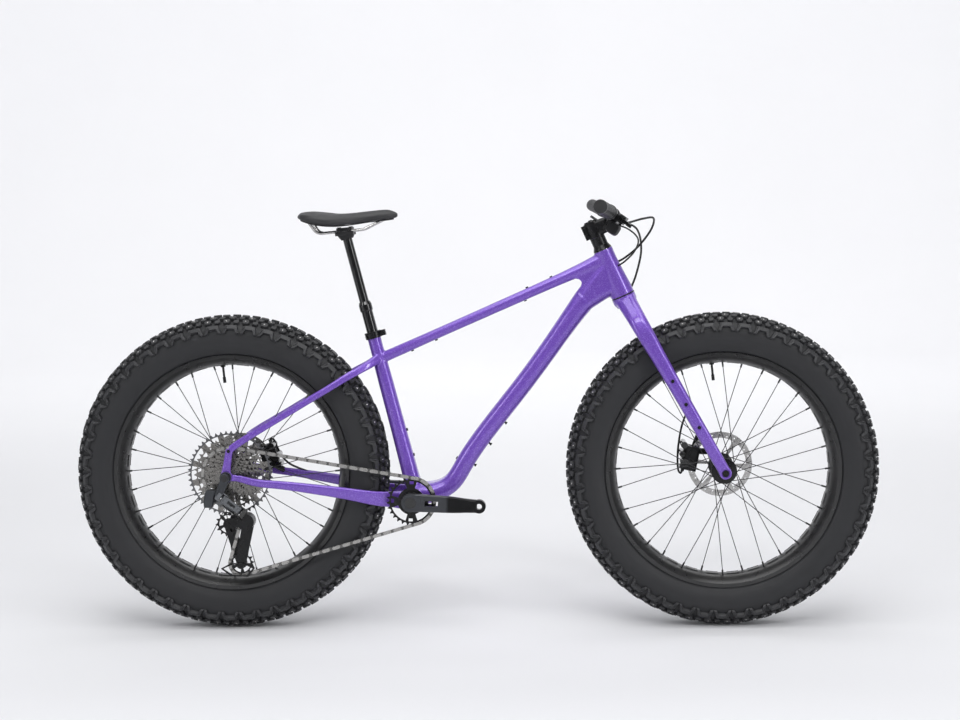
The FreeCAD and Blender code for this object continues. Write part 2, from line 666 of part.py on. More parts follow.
def engaged_rollers():
    """Roller angles on each wheel, in chain order, spaced by whole teeth within the wrap."""
    wheels = chain_wheels()
    count = len(wheels)
    angles = []
    for index, wheel in enumerate(wheels):
        teeth, sign = wheel[1:3]
        arrive = run_angle(wheels[index - 1], wheel) + sign * math.pi / 2
        leave = run_angle(wheel, wheels[(index + 1) % count]) + sign * math.pi / 2
        wrap = (sign * (arrive - leave)) % (2 * math.pi)
        step = 2 * math.pi / teeth
        steps = int(wrap / step)
        margin = (wrap - steps * step) / 2
        angles.append([arrive - sign * (margin + step * turn) for turn in range(steps + 1)])
    return angles


def tooth_phase(index):
    return engaged_rollers()[index][0]


def chain_rollers():
    wheels = chain_wheels()
    angles = engaged_rollers()
    rollers = []
    for index, wheel in enumerate(wheels):
        centre, teeth = wheel[:2]
        on_wheel = [polar(V(centre.x, wheel[3], centre.z), pitch_radius(teeth), a) for a in angles[index]]
        following = wheels[(index + 1) % len(wheels)]
        next_first = polar(V(following[0].x, following[3], following[0].z), pitch_radius(following[1]),
                           angles[(index + 1) % len(wheels)][0])
        rollers.extend(on_wheel)
        links = round((next_first - on_wheel[-1]).Length / CHAIN_PITCH)
        if index == len(wheels) - 1 and (len(rollers) + links - 1) % 2 == 1:
            links = links + 1
        for turn in range(1, links):
            rollers.append(between(on_wheel[-1], next_first, turn / links))
    return rollers


def chain_plate(start, end, offset, thickness):
    run = end - start
    run.y = 0
    run.normalize()
    side = V(-run.z, 0, run.x)
    middle_y = (start.y + end.y) / 2 + offset
    low = V(start.x, middle_y, start.z)
    high = V(end.x, middle_y, end.z)
    radius = PLATE_RADIUS
    wire = Part.Wire([
        Part.LineSegment(low + side * radius, high + side * radius).toShape(),
        Part.Arc(high + side * radius, high + run * radius, high - side * radius).toShape(),
        Part.LineSegment(high - side * radius, low - side * radius).toShape(),
        Part.Arc(low - side * radius, low - run * radius, low + side * radius).toShape()])
    return Part.Face(wire).extrude(Y * thickness)


def chain():
    rollers = chain_rollers()
    pieces = []
    for index, start in enumerate(rollers):
        end = rollers[(index + 1) % len(rollers)]
        near, far = INNER_PLATE_FROM, INNER_PLATE_TO
        if index % 2:
            near, far = OUTER_PLATE_FROM, OUTER_PLATE_TO
        pieces.append(chain_plate(start, end, near, far - near))
        pieces.append(chain_plate(start, end, -far, far - near))
        pieces.append(disc(start, start.y - INNER_PLATE_FROM, start.y + INNER_PLATE_FROM, ROLLER_RADIUS))
        pieces.append(disc(start, start.y - OUTER_PLATE_TO - 0.1, start.y + OUTER_PLATE_TO + 0.1, 1.8))
    return group(pieces)


def chainring():
    half = SPROCKET_THICKNESS / 2
    centre = V(BB.x, CHAINRING_Y - half, BB.z)
    root = pitch_radius(CHAINRING_TEETH) - 6
    holes = [circle_wire(centre, SPINDLE_RADIUS + HOLE_CLEARANCE)]
    holes.extend(windows(centre, root * 0.64, root - 2, 4, 0.62, math.radians(CRANK_ANGLE) + 0.35))
    holes.extend(windows(centre, root * 0.82, root - 2, 4, 0.14, math.radians(CRANK_ANGLE) + 1.47))
    ring_body = flat_wheel(toothed_wire(centre, CHAINRING_TEETH, tooth_phase(0)), holes,
                           SPROCKET_THICKNESS)
    carrier = washer(BB, -CRANK_INNER_Y + SEATED_CLEARANCE, CHAINRING_Y, 23,
                     SPINDLE_RADIUS + HOLE_CLEARANCE)
    return fused([ring_body, carrier])


def cassette():
    pieces = []
    for index, teeth in enumerate(SPROCKETS):
        y = FIRST_SPROCKET_Y + SPROCKET_SPACING * index
        centre = V(REAR.x, y - SPROCKET_THICKNESS / 2, REAR.z)
        phase = tooth_phase(3) if index == DRIVEN_SPROCKET else 0.1 * index
        root = pitch_radius(teeth) - 5.5
        holes = [circle_wire(centre, FREEHUB_RADIUS - 0.5)]
        if root > FREEHUB_RADIUS + 12:
            arms = 8 if teeth < 36 else 12
            holes.extend(windows(centre, FREEHUB_RADIUS + 4, root - 1.5, arms, 0.7, 0.22 * index))
        pieces.append(flat_wheel(toothed_wire(centre, teeth, phase), holes, SPROCKET_THICKNESS))
    last = FIRST_SPROCKET_Y + SPROCKET_SPACING * (len(SPROCKETS) - 1)
    pieces.append(washer(REAR, -REAR_HUB_HALF + SIDE_CLEARANCE, last + 1.5, FREEHUB_RADIUS,
                         REAR_AXLE_RADIUS + RUNNING_CLEARANCE))
    return group(pieces)


def jockey(index, centre):
    half = SPROCKET_THICKNESS / 2
    base = V(centre.x, COG_Y - half, centre.z)
    bore = LINK_PIN_RADIUS + RUNNING_CLEARANCE
    holes = [circle_wire(base, bore)]
    holes.extend(windows(base, 12, pitch_radius(JOCKEY_TEETH) - 7, 5, 0.66))
    wheel = flat_wheel(toothed_wire(base, JOCKEY_TEETH, tooth_phase(index)), holes, SPROCKET_THICKNESS)
    return fused([wheel, washer(centre, COG_Y - 4.5, COG_Y + 4.5, 9, bore)])


def upper_jockey_wheel():
    return jockey(2, UPPER_JOCKEY)


def lower_jockey_wheel():
    return jockey(1, LOWER_JOCKEY)


# Crank
CRANK_RUN = turned_up(CRANK_ANGLE)
CRANK_RISE = turned_up(CRANK_ANGLE + 90)


def crank_arm():
    """Right arm without its spindle, and the pedal eye that closes its end."""
    middle = -(CRANK_INNER_Y + CRANK_THICKNESS / 2)
    tip = BB + CRANK_RUN * CRANK_LENGTH
    arm = loft([
        rounded_wire(BB + Y * middle, Y, CRANK_RISE, CRANK_THICKNESS, 2 * CRANK_BOSS_RADIUS, 0.3),
        rounded_wire(BB + CRANK_RUN * (CRANK_LENGTH * 0.36) + Y * (middle - CRANK_FLARE * 0.15), Y,
                     CRANK_RISE,
                     CRANK_THICKNESS, 2 * CRANK_BOSS_RADIUS - 3, 0.3),
        rounded_wire(BB + CRANK_RUN * (CRANK_LENGTH * 0.72) + Y * (middle - CRANK_FLARE * 0.7), Y,
                     CRANK_RISE,
                     CRANK_THICKNESS, 2 * CRANK_TIP_RADIUS + 4, 0.3),
        rounded_wire(tip - CRANK_RUN * EYE_SETBACK + Y * (middle - CRANK_FLARE), Y, CRANK_RISE,
                     CRANK_THICKNESS,
                     2 * math.sqrt(CRANK_TIP_RADIUS ** 2 - EYE_SETBACK ** 2), 0.3)])
    outer = -(CRANK_INNER_Y + CRANK_THICKNESS)
    boss = disc(BB, outer, -CRANK_INNER_Y, CRANK_BOSS_RADIUS)
    eye = washer(tip, outer - CRANK_FLARE, -CRANK_INNER_Y - CRANK_FLARE, CRANK_TIP_RADIUS,
                 PEDAL_THREAD_RADIUS)
    body = fused([arm, boss])
    window = block(BB + CRANK_RUN * (CRANK_BOSS_RADIUS + 28) + Y * middle, CRANK_RUN, CRANK_RISE, Y, 32,
                   13, 60)
    inside = disc(BB, -CRANK_INNER_Y, -CRANK_INNER_Y + CRANK_THICKNESS, CRANK_LENGTH)
    return body.cut(window).cut(inside), eye


def right_crank_arm():
    reach = CRANK_INNER_Y + CRANK_THICKNESS
    spindle = disc(BB, -reach, reach - 1, SPINDLE_RADIUS)
    arm, eye = crank_arm()
    return group([fused([arm, spindle]), eye])


def left_crank_arm():
    arm, eye = (mirrored(piece) for piece in crank_arm())
    arm.rotate(BB, Y, 180)
    eye.rotate(BB, Y, 180)
    reach = CRANK_INNER_Y + CRANK_THICKNESS
    seat = disc(BB, CRANK_INNER_Y - 1, reach - 1 + SEATED_CLEARANCE, SPINDLE_RADIUS + SEATED_CLEARANCE)
    return group([arm.cut(seat), eye])


# Derailleur
LINK_RUN = V(0.8, 0, -0.6)
LINK_SWING = V(-0.309, 0.857, -0.412).normalize()
LINK_AXIS = LINK_RUN.cross(LINK_SWING).normalize()
OUTER_PIVOT = REAR + V(-6, -(REAR_HUB_HALF + DROPOUT_THICKNESS + 9.5), -52)
INNER_PIVOT = OUTER_PIVOT + LINK_SWING * LINK_SPREAD
LUG_GAP = LINK_WIDTH / 2 + SIDE_CLEARANCE


def lug_pair(first, second, way):
    """Two lugs, their pins and the bridge behind them; way is +1 when the bridge is on the far side."""
    middle = between(first, second, 0.5)
    pieces = []
    for sign in (-1, 1):
        lug = middle + LINK_RUN * (4 * way) + LINK_AXIS * (sign * (LUG_GAP + 1.5))
        pieces.append(block(lug, LINK_RUN, LINK_SWING, LINK_AXIS, 20, LINK_SPREAD + 11, 3))
    bridge = middle + LINK_RUN * (12.5 * way)
    pieces.append(block(bridge, LINK_RUN, LINK_SWING, LINK_AXIS, 10, LINK_SPREAD + 11, 2 * LUG_GAP + 6))
    for pivot in (first, second):
        pieces.append(cylinder(pivot - LINK_AXIS * (LUG_GAP + 2), pivot + LINK_AXIS * (LUG_GAP + 2),
                               LINK_PIN_RADIUS))
    return pieces


def derailleur_base():
    inside = -(REAR_HUB_HALF + DROPOUT_THICKNESS + SEATED_CLEARANCE)
    eye = disc(REAR, inside - 12, inside, DROPOUT_RADIUS - 1)
    bridge = between(OUTER_PIVOT, INNER_PIVOT, 0.5) - LINK_RUN * 12.5
    top = REAR + V(-2, inside - 7, -6)
    strut = loft([rounded_wire(top, Y, X, 10, 22, 0.3),
                  rounded_wire(between(top, bridge, 0.6), Y, X, 12, 22, 0.3),
                  rounded_wire(bridge, Y, X, 18, 20, 0.3)])
    body = fused([eye, strut] + lug_pair(OUTER_PIVOT, INNER_PIVOT, -1))
    body = body.cut(disc(REAR, inside - 6, inside + 1, REAR_AXLE_RADIUS + HOLE_CLEARANCE))
    pack = loft([rounded_wire(bridge + V(-16, 0, 18), Y, X, 22, 24, 0.25),
                 rounded_wire(bridge + V(-21, 2, -2), Y, X, 24, 26, 0.25),
                 rounded_wire(bridge + V(-24, 4, -24), Y, X, 22, 20, 0.25)])
    return group([body, pack])


def link(pivot):
    far = pivot + LINK_RUN * LINK_LENGTH
    half = LINK_AXIS * (LINK_WIDTH / 2)
    body = fused([block(between(pivot, far, 0.5), LINK_RUN, LINK_SWING, LINK_AXIS, LINK_LENGTH, 7.6,
                        LINK_WIDTH),
                  cylinder(pivot - half, pivot + half, 4.6), cylinder(far - half, far + half, 4.6)])
    for point in (pivot, far):
        body = body.cut(cylinder(point - half * 2, point + half * 2, LINK_PIN_RADIUS + RUNNING_CLEARANCE))
    return body.cut(block(between(pivot, far, 0.5), LINK_RUN, LINK_SWING, LINK_AXIS, LINK_LENGTH * 0.45,
                          20, 7))


def derailleur_outer_link():
    return link(OUTER_PIVOT)


def derailleur_inner_link():
    return link(INNER_PIVOT)


KNUCKLE_INNER_Y = COG_Y - 24.0
CAGE_OUTER_FROM = COG_Y - 8.6
CAGE_OUTER_TO = COG_Y - 6.2


def derailleur_knuckle():
    reach = LINK_RUN * LINK_LENGTH
    housing = disc(CAGE_PIVOT, KNUCKLE_INNER_Y - 30, KNUCKLE_INNER_Y, KNUCKLE_RADIUS)
    stub = disc(CAGE_PIVOT, KNUCKLE_INNER_Y - 1, CAGE_OUTER_TO + 1, 7)
    shoulder = disc(CAGE_PIVOT, KNUCKLE_INNER_Y - 1, CAGE_OUTER_FROM - SIDE_CLEARANCE, 14)
    return fused([housing, shoulder, stub] + lug_pair(OUTER_PIVOT + reach, INNER_PIVOT + reach, 1))


def capsule_points(first, second, radius_1, radius_2, turns=10):
    """Outline of two joined discs as points in the side view."""
    gap = second - first
    run = math.atan2(gap.z, gap.x)
    lean = math.acos((radius_1 - radius_2) / math.hypot(gap.x, gap.z))
    points = []
    for centre, radius, start, sweep in ((second, radius_2, run - lean, 2 * lean),
                                         (first, radius_1, run + lean, 2 * math.pi - 2 * lean)):
        for index in range(turns + 1):
            angle = start + sweep * index / turns
            points.append((centre.x + radius * math.cos(angle), centre.z + radius * math.sin(angle)))
    return points


def derailleur_cage():
    inner_from = COG_Y + 6.2
    inner_to = COG_Y + 8.4
    arm = plate(capsule_points(CAGE_PIVOT, LOWER_JOCKEY, 15, 12), CAGE_OUTER_FROM, CAGE_OUTER_TO)
    brace = plate(capsule_points(CAGE_PIVOT, UPPER_JOCKEY, 15, 11), CAGE_OUTER_FROM, CAGE_OUTER_TO)
    inner = plate(capsule_points(UPPER_JOCKEY, LOWER_JOCKEY, 13, 13), inner_from, inner_to)
    pins = [disc(centre, CAGE_OUTER_FROM - 1, inner_to + 1, LINK_PIN_RADIUS) for centre in (UPPER_JOCKEY,
                                                                                            LOWER_JOCKEY)]
    heads = [disc(centre, CAGE_OUTER_FROM - 1.5, CAGE_OUTER_FROM, 5) for centre in (UPPER_JOCKEY,
                                                                                    LOWER_JOCKEY)]
    body = fused([arm, brace, inner] + pins + heads)
    return body.cut(disc(CAGE_PIVOT, CAGE_OUTER_FROM - 5, CAGE_OUTER_TO + 5, 7 + RUNNING_CLEARANCE))


# Brakes
def caliper_frame(centre, angle):
    return turned_up(angle), turned_up(angle + 90)


def caliper(centre, angle, rotor_y):
    """Caliper over the rotor edge, with four pistons, a hose union and two mounting bolts."""
    out, along = caliper_frame(centre, angle)
    base = V(centre.x, rotor_y, centre.z)
    half = CALIPER_HALF_WIDTH
    slot = CALIPER_SLOT_HALF
    low = ROTOR_RADIUS - 24
    deep = ROTOR_RADIUS + 5
    high = ROTOR_RADIUS + 16
    outline = [(low, -half + 4), (low + 5, -half), (high - 7, -half), (high, -half + 8), (high, half - 8),
               (high - 7, half), (low + 5, half), (low, half - 4), (low, slot), (deep, slot),
               (deep, -slot), (low, -slot)]
    points = [base + out * radial + Y * side - along * CALIPER_HALF_LENGTH for radial, side in outline]
    body = prism(points, along * (2 * CALIPER_HALF_LENGTH))
    pieces = [body]
    for sign in (-1, 1):
        for shift in (-13, 13):
            middle = base + out * (ROTOR_RADIUS - 9) + along * shift
            inner = ROTOR_THICKNESS / 2 + PAD_GAP + PAD_THICKNESS + SEATED_CLEARANCE
            pieces.append(cylinder(middle + Y * (sign * inner), middle + Y * (sign * (half + 2.5)), 9.5))
    union = base + out * (ROTOR_RADIUS + 6) + along * CALIPER_HALF_LENGTH
    pieces.append(cylinder(union - along * 2 + Y * 12, union + along * 9 + Y * 12, 4.5))
    return fused(pieces)


def mount_ears(centre, angle, rotor_y, ends):
    """Straps from the caliper to the points given on the frame or fork, with a bolt through each."""
    out, along = caliper_frame(centre, angle)
    pieces = []
    for shift, end, width in ends:
        start = V(centre.x, rotor_y + 14, centre.z) + out * (ROTOR_RADIUS - 4) + along * shift
        run = (end - start).normalize()
        side = run.cross(Y).normalize()
        wires = [rounded_wire(start, run.cross(side), side, 9, width, 0.3),
                 rounded_wire(end, run.cross(side), side, 9, width, 0.3)]
        pieces.append(loft(wires))
        pieces.append(cylinder(end - Y * 8, end + Y * 8, width * 0.32))
    return pieces


def rear_caliper():
    ends = [(-22, REAR + V(70, REAR_HUB_HALF + 2, -10), 15),
            (-22, REAR + V(104, REAR_HUB_HALF - 1, -16), 15)]
    return fused([caliper(REAR, REAR_CALIPER_ANGLE, REAR_ROTOR_Y)]
                 + mount_ears(REAR, REAR_CALIPER_ANGLE, REAR_ROTOR_Y, ends))


def front_caliper():
    leg = FRONT - LEG_DOWN * 62 + Y * (FRONT_HUB_HALF + 3) - LEG_AHEAD * 6
    ends = [(20, leg - LEG_DOWN * 26, 15), (-14, leg + LEG_DOWN * 26, 15)]
    return fused([caliper(FRONT, FRONT_CALIPER_ANGLE, FRONT_ROTOR_Y)]
                 + mount_ears(FRONT, FRONT_CALIPER_ANGLE, FRONT_ROTOR_Y, ends))


def pad(centre, angle, rotor_y, sign):
    out, along = caliper_frame(centre, angle)
    middle = V(centre.x, rotor_y, centre.z) + out * (ROTOR_RADIUS - 10)
    reach = ROTOR_THICKNESS / 2 + PAD_GAP + PAD_THICKNESS / 2
    return block(middle + Y * (sign * reach), out, along, Y, 22, 46, PAD_THICKNESS)


def rotor(centre, y):
    base = V(centre.x, y - ROTOR_THICKNESS / 2, centre.z)
    holes = [circle_wire(base, 17 + SEATED_CLEARANCE)]
    holes.extend(windows(base, 26, ROTOR_RADIUS - 15, 6, 0.8))
    for index in range(24):
        radius = ROTOR_RADIUS - 4.5 - 3 * (index % 3)
        holes.append(circle_wire(polar(base, radius, 2 * math.pi * index / 24), 1.9))
    return flat_wheel(circle_wire(base, ROTOR_RADIUS), holes, ROTOR_THICKNESS)


# Wheels
TREAD_RADIUS = 67.8
KNOB_HEIGHT = 8.5
TREAD_CENTRE = TYRE_RADIUS - KNOB_HEIGHT - TREAD_RADIUS
TYRE_WALL = 4.5
SHOULDER_HALF = 53.0
SIDEWALL_HALF = 55.0


def yz_line(start, end):
    return Part.LineSegment(V(0, *start), V(0, *end)).toShape()


def yz_arc(start, middle, end):
    return Part.Arc(V(0, *start), V(0, *middle), V(0, *end)).toShape()


def flipped(point):
    return (-point[0], point[1])


def tyre_profile():
    """Tyre casing from bead to bead as a closed section of (y, radius)."""
    seat = RIM_FLANGE_RADIUS
    wall = TYRE_WALL
    shoulder_r = TREAD_CENTRE + math.sqrt(TREAD_RADIUS ** 2 - SHOULDER_HALF ** 2)
    bead_low = (RIM_HALF_WIDTH - 4.5, seat - 7)
    bead_top = (RIM_HALF_WIDTH - 4.5, seat + 0.4)
    flare = (RIM_HALF_WIDTH - 0.5, seat + 2)
    side = (SIDEWALL_HALF, (flare[1] + shoulder_r) / 2)
    shoulder = (SHOULDER_HALF, shoulder_r)
    in_shoulder = (SHOULDER_HALF - wall, shoulder_r - wall * 0.5)
    in_side = (SIDEWALL_HALF - wall, side[1])
    in_flare = (flare[0] - wall - 1.5, flare[1] + 2)
    in_low = (bead_low[0] - 6, bead_low[1])
    crown = (0, TREAD_CENTRE + TREAD_RADIUS)
    in_crown = (0, TREAD_CENTRE + TREAD_RADIUS - wall)
    edges = [yz_line(bead_low, bead_top), yz_line(bead_top, flare), yz_arc(flare, side, shoulder),
             yz_arc(shoulder, crown, flipped(shoulder)), yz_arc(flipped(shoulder), flipped(side),
                                                                flipped(flare)),
             yz_line(flipped(flare), flipped(bead_top)), yz_line(flipped(bead_top), flipped(bead_low)),
             yz_line(flipped(bead_low), flipped(in_low)), yz_line(flipped(in_low), flipped(in_flare)),
             yz_arc(flipped(in_flare), flipped(in_side), flipped(in_shoulder)),
             yz_arc(flipped(in_shoulder), in_crown, in_shoulder), yz_arc(in_shoulder, in_side, in_flare),
             yz_line(in_flare, in_low), yz_line(in_low, bead_low)]
    return Part.Face(Part.Wire(edges))


# Knob rows: angle round the section, place within the pitch, length, width and height
KNOB_ROWS = ((7, 0.25, 17, 12, 8.5), (-7, 0.75, 17, 12, 8.5), (25, 0.7, 16, 13, 7.5),
             (-25, 0.3, 16, 13, 7.5),
             (45, 0.3, 20, 12, 6.0), (-45, 0.7, 20, 12, 6.0))


def on_sector_cut(face):
    if face.Surface.TypeId != "Part::GeomPlane":
        return False
    normal = face.Surface.Axis
    middle = face.CenterOfMass
    return abs(normal.y) < 1e-6 and abs(normal.dot(V(middle.x, 0, middle.z))) < 1e-6


def tyre(centre):
    """One pitch of the tread is built, then its skin is repeated round the wheel and sewn shut."""
    step = 360.0 / TYRE_PITCHES
    room = 2 * math.pi * TYRE_RADIUS / TYRE_PITCHES / 48.0
    sector = tyre_profile().revolve(V(0, 0, 0), Y, step)
    knobs = []
    for lean, place, length, width, height in KNOB_ROWS:
        long = length * room
        knob = Part.makeBox(long, width, height + 3, V(-long / 2, -width / 2, TREAD_RADIUS - 3))
        knob.rotate(V(0, 0, 0), X, -lean)
        knob.translate(Z * TREAD_CENTRE)
        knob.rotate(V(0, 0, 0), Y, place * step)
        knobs.append(knob)
    pitch = sector.multiFuse(knobs)
    skin = [face for face in pitch.Faces if not on_sector_cut(face)]
    faces = []
    for index in range(TYRE_PITCHES):
        turn = FreeCAD.Matrix()
        turn.rotateY(math.radians(step * index))
        faces.extend(face.transformed(turn) for face in skin)
    shell = Part.makeCompound(faces)
    shell.sewShape(1e-5)
    solid = Part.makeSolid(shell.Shells[0])
    if solid.Volume < 0:
        solid.reverse()
    solid.translate(centre)
    return solid


def rim(centre):
    half = RIM_HALF_WIDTH
    flange = RIM_FLANGE_RADIUS
    well = flange - RIM_WELL_DEPTH
    edges = [yz_line((half, flange), (half - 4, flange)), yz_line((half - 4, flange),
                                                                  (half - 4, flange - 8)),
             yz_line((half - 4, flange - 8), (half - 17, well)),
             yz_line((half - 17, well), (-half + 17, well)),
             yz_line((-half + 17, well), (-half + 4, flange - 8)),
             yz_line((-half + 4, flange - 8), (-half + 4, flange)),
             yz_line((-half + 4, flange), (-half, flange)), yz_line((-half, flange), (-half, flange - 9)),
             yz_arc((-half, flange - 9), (0, RIM_INNER_RADIUS), (half, flange - 9)),
             yz_line((half, flange - 9), (half, flange))]
    body = Part.Face(Part.Wire(edges)).revolve(V(0, 0, 0), Y, 360)
    body.translate(centre)
    return body


def spokes(centre, left_flange, right_flange):
    pieces = []
    for index in range(SPOKE_COUNT):
        rim_angle = 2 * math.pi * index / SPOKE_COUNT
        lean = 1 if (index // 2) % 2 else -1
        hub_angle = rim_angle + lean * math.radians(360.0 / (SPOKE_COUNT / 2) * SPOKE_CROSSES * 0.93)
        flange_y = left_flange + 1.5 if index % 2 else right_flange - 1.5
        rim_y = 12 if index % 2 else -12
        start = polar(centre + Y * flange_y, FLANGE_HOLE_RADIUS, hub_angle)
        end = polar(centre + Y * rim_y, RIM_INNER_RADIUS + 3, rim_angle)
        run = (end - start).normalize()
        wire = cylinder(start, end, SPOKE_RADIUS)
        pieces.append(wire.fuse(cylinder(end - run * NIPPLE_LENGTH, end, NIPPLE_RADIUS)))
    return group(pieces)


def hub(centre, left_flange, right_flange, left_end, right_end, rotor_y, bore):
    spigot = 17.0
    seat = rotor_y - ROTOR_THICKNESS / 2
    lock = rotor_y + ROTOR_THICKNESS / 2 + SEATED_CLEARANCE
    profile = [(right_end, bore), (right_end, 15), (right_flange - 6, 17),
               (right_flange - 3, HUB_FLANGE_RADIUS),
               (right_flange, HUB_FLANGE_RADIUS), (right_flange + 4, HUB_SHELL_RADIUS),
               (left_flange - 4, HUB_SHELL_RADIUS), (left_flange, HUB_FLANGE_RADIUS),
               (left_flange + 3, HUB_FLANGE_RADIUS), (left_flange + 6, 22), (seat - SEATED_CLEARANCE, 22),
               (seat - SEATED_CLEARANCE, spigot), (lock, spigot), (lock, 21), (lock + 3, 20),
               (lock + 3, 14),
               (left_end, 13), (left_end, bore)]
    return turned(profile, centre, Y)


FRONT_FLANGES = (34.0, -50.0)
REAR_FLANGES = (54.0, -36.0)
VALVE_ANGLE = 90.0 + 360.0 / SPOKE_COUNT / 2


def front_hub():
    end = FRONT_HUB_HALF - SIDE_CLEARANCE
    return hub(FRONT, FRONT_FLANGES[0], FRONT_FLANGES[1], end, -end, FRONT_ROTOR_Y,
               FRONT_AXLE_RADIUS + RUNNING_CLEARANCE)


def rear_hub():
    freehub_end = FIRST_SPROCKET_Y + SPROCKET_SPACING * (len(SPROCKETS) - 1) + 1.5
    return hub(REAR, REAR_FLANGES[0], REAR_FLANGES[1], REAR_HUB_HALF - SIDE_CLEARANCE,
               freehub_end + SIDE_CLEARANCE, REAR_ROTOR_Y, REAR_AXLE_RADIUS + RUNNING_CLEARANCE)


def valve(centre):
    out = turned_up(VALVE_ANGLE)
    stem_low = centre + out * (RIM_INNER_RADIUS - 34)
    stem_body = cylinder(stem_low, centre + out * (RIM_INNER_RADIUS + 2), 2.8)
    cap = cylinder(stem_low - out * 9, stem_low + out * 5, 3.8)
    nut = cylinder(centre + out * (RIM_INNER_RADIUS - 4), centre + out * (RIM_INNER_RADIUS - 0.1), 6)
    return fused([stem_body, cap, nut])


# Fork
def leg_point(down, y):
    return CROWN + LEG_DOWN * down + Y * y


def leg_section(down, y, width, depth, corner=0.45):
    return rounded_wire(leg_point(down, y), Y, LEG_AHEAD, width, depth, corner)


def fork_leg():
    """Left leg from the crown to the dropout."""
    out = FRONT_HUB_HALF + FORK_DROPOUT_THICKNESS / 2
    top = FORK_LEG_DEPTH_TOP
    mid = FORK_LEG_DEPTH_MID
    leg = loft([
        leg_section(8, 8, 44, top * 1.18), leg_section(34, 38, 42, top * 1.06),
        leg_section(66, 64, 33, top),
        leg_section(100, 76, 27, top * 0.95), leg_section(150, 80, 25, top * 0.86),
        leg_section(230, 82.5, 23, mid * 1.08),
        leg_section(330, 83.5, 21, mid), leg_section(LEG_LENGTH - 60, out + 0.5, 18, mid * 0.96),
        leg_section(LEG_LENGTH, out, FORK_DROPOUT_THICKNESS, 2 * FORK_DROPOUT_RADIUS - 2)])
    end = disc(FRONT, FRONT_HUB_HALF, FRONT_HUB_HALF + FORK_DROPOUT_THICKNESS, FORK_DROPOUT_RADIUS)
    return leg.fuse(end)


def pack_points(side):
    """Middle of each accessory hole where it meets the outer face of a leg."""
    points = []
    for count in range(3):
        down = 230 + BOSS_SPACING * count
        points.append(leg_point(down, side * 100))
    return points


def fork():
    leg = fork_leg()
    crown = turned([(-26, 0), (-26, HEAD_TUBE_LOWER_RADIUS - 5), (-14, HEAD_TUBE_LOWER_RADIUS),
                    (0, HEAD_TUBE_LOWER_RADIUS), (0, 0)], CROWN, STEER_UP)
    top = STEM_FROM + STEM_HEIGHT - 3
    steerer = turned([(-5, 0), (-5, STEERER_LOWER_RADIUS), (CROWN_GAP + BEARING_HEIGHT,
                                                            STEERER_LOWER_RADIUS),
                      (CROWN_GAP + BEARING_HEIGHT + 45, STEERER_RADIUS), (top, STEERER_RADIUS), (top, 0)],
                     CROWN, STEER_UP)
    body = fused([leg, mirrored(leg), crown, steerer])
    reach = FRONT_HUB_HALF + FORK_DROPOUT_THICKNESS + 8
    body = body.cut(disc(FRONT, -reach, reach, FRONT_AXLE_RADIUS + HOLE_CLEARANCE))
    face = FRONT_HUB_HALF + FORK_DROPOUT_THICKNESS
    body = body.cut(disc(FRONT, face, reach, FRONT_AXLE_RADIUS + 4.5))
    screws = []
    for side in (-1, 1):
        for point in pack_points(side):
            inner = V(point.x, side * (FRONT_HUB_HALF + 20 - PACK_HOLE_DEPTH), point.z)
            flush = V(point.x, side * (FRONT_HUB_HALF + 20 - SCREW_SINK), point.z)
            body = body.cut(cylinder(inner, point, PACK_HOLE_RADIUS))
            screws.append(cylinder(inner, flush, PACK_HOLE_RADIUS - SEATED_CLEARANCE))
    return group([body] + screws)


# Cockpit
def headset_spacers():
    bore = STEERER_RADIUS + SEATED_CLEARANCE
    low = HEAD_TOP + SIDE_CLEARANCE
    cover = turned([(low, bore), (low, HEAD_TUBE_UPPER_RADIUS - 0.5), (low + 3, COVER_RADIUS),
                    (HEAD_TOP + COVER_HEIGHT, SPACER_RADIUS), (HEAD_TOP + COVER_HEIGHT, bore)], CROWN,
                    STEER_UP)
    pieces = [cover]
    for count in range(SPACER_COUNT):
        start = HEAD_TOP + COVER_HEIGHT + SPACER_HEIGHT * count + SEATED_CLEARANCE
        pieces.append(ring(on_steer(start), on_steer(start + SPACER_HEIGHT - SEATED_CLEARANCE),
                           SPACER_RADIUS, bore))
    top = STEM_FROM + STEM_HEIGHT + SEATED_CLEARANCE
    pieces.append(turned([(top, 0), (top, 17), (top + 3, 16), (top + 3, 5), (top + 5, 4.5), (top + 5, 0)],
                         CROWN, STEER_UP))
    return group(pieces)


STEM_FACE = STEM_REACH + 1.0


def stem_body():
    clamp = cylinder(on_steer(STEM_FROM), on_steer(STEM_FROM + STEM_HEIGHT), STEM_CLAMP_RADIUS)
    boss = cylinder(BAR_CENTRE - Y * 26, BAR_CENTRE + Y * 26, BAR_CLAMP_RADIUS + 6)
    beam = loft([rounded_wire(on_steer(STEM_MIDDLE, 2), Y, STEER_UP, 34, STEM_HEIGHT - 1, 0.3),
                 rounded_wire(on_steer(STEM_MIDDLE, STEM_REACH - 4), Y, STEER_UP, 50, STEM_HEIGHT - 4,
                              0.3)])
    lug = block(on_steer(STEM_MIDDLE, -STEM_CLAMP_RADIUS - 1), STEER_AHEAD, Y, STEER_UP, 14, 20,
                STEM_HEIGHT - 4)
    body = fused([clamp, boss, beam, lug])
    body = body.cut(cylinder(on_steer(STEM_FROM - 2), on_steer(STEM_FROM + STEM_HEIGHT + 2),
                             STEERER_RADIUS + SEATED_CLEARANCE))
    return body.cut(cylinder(BAR_CENTRE - Y * 40, BAR_CENTRE + Y * 40,
                             BAR_CLAMP_RADIUS + SEATED_CLEARANCE))


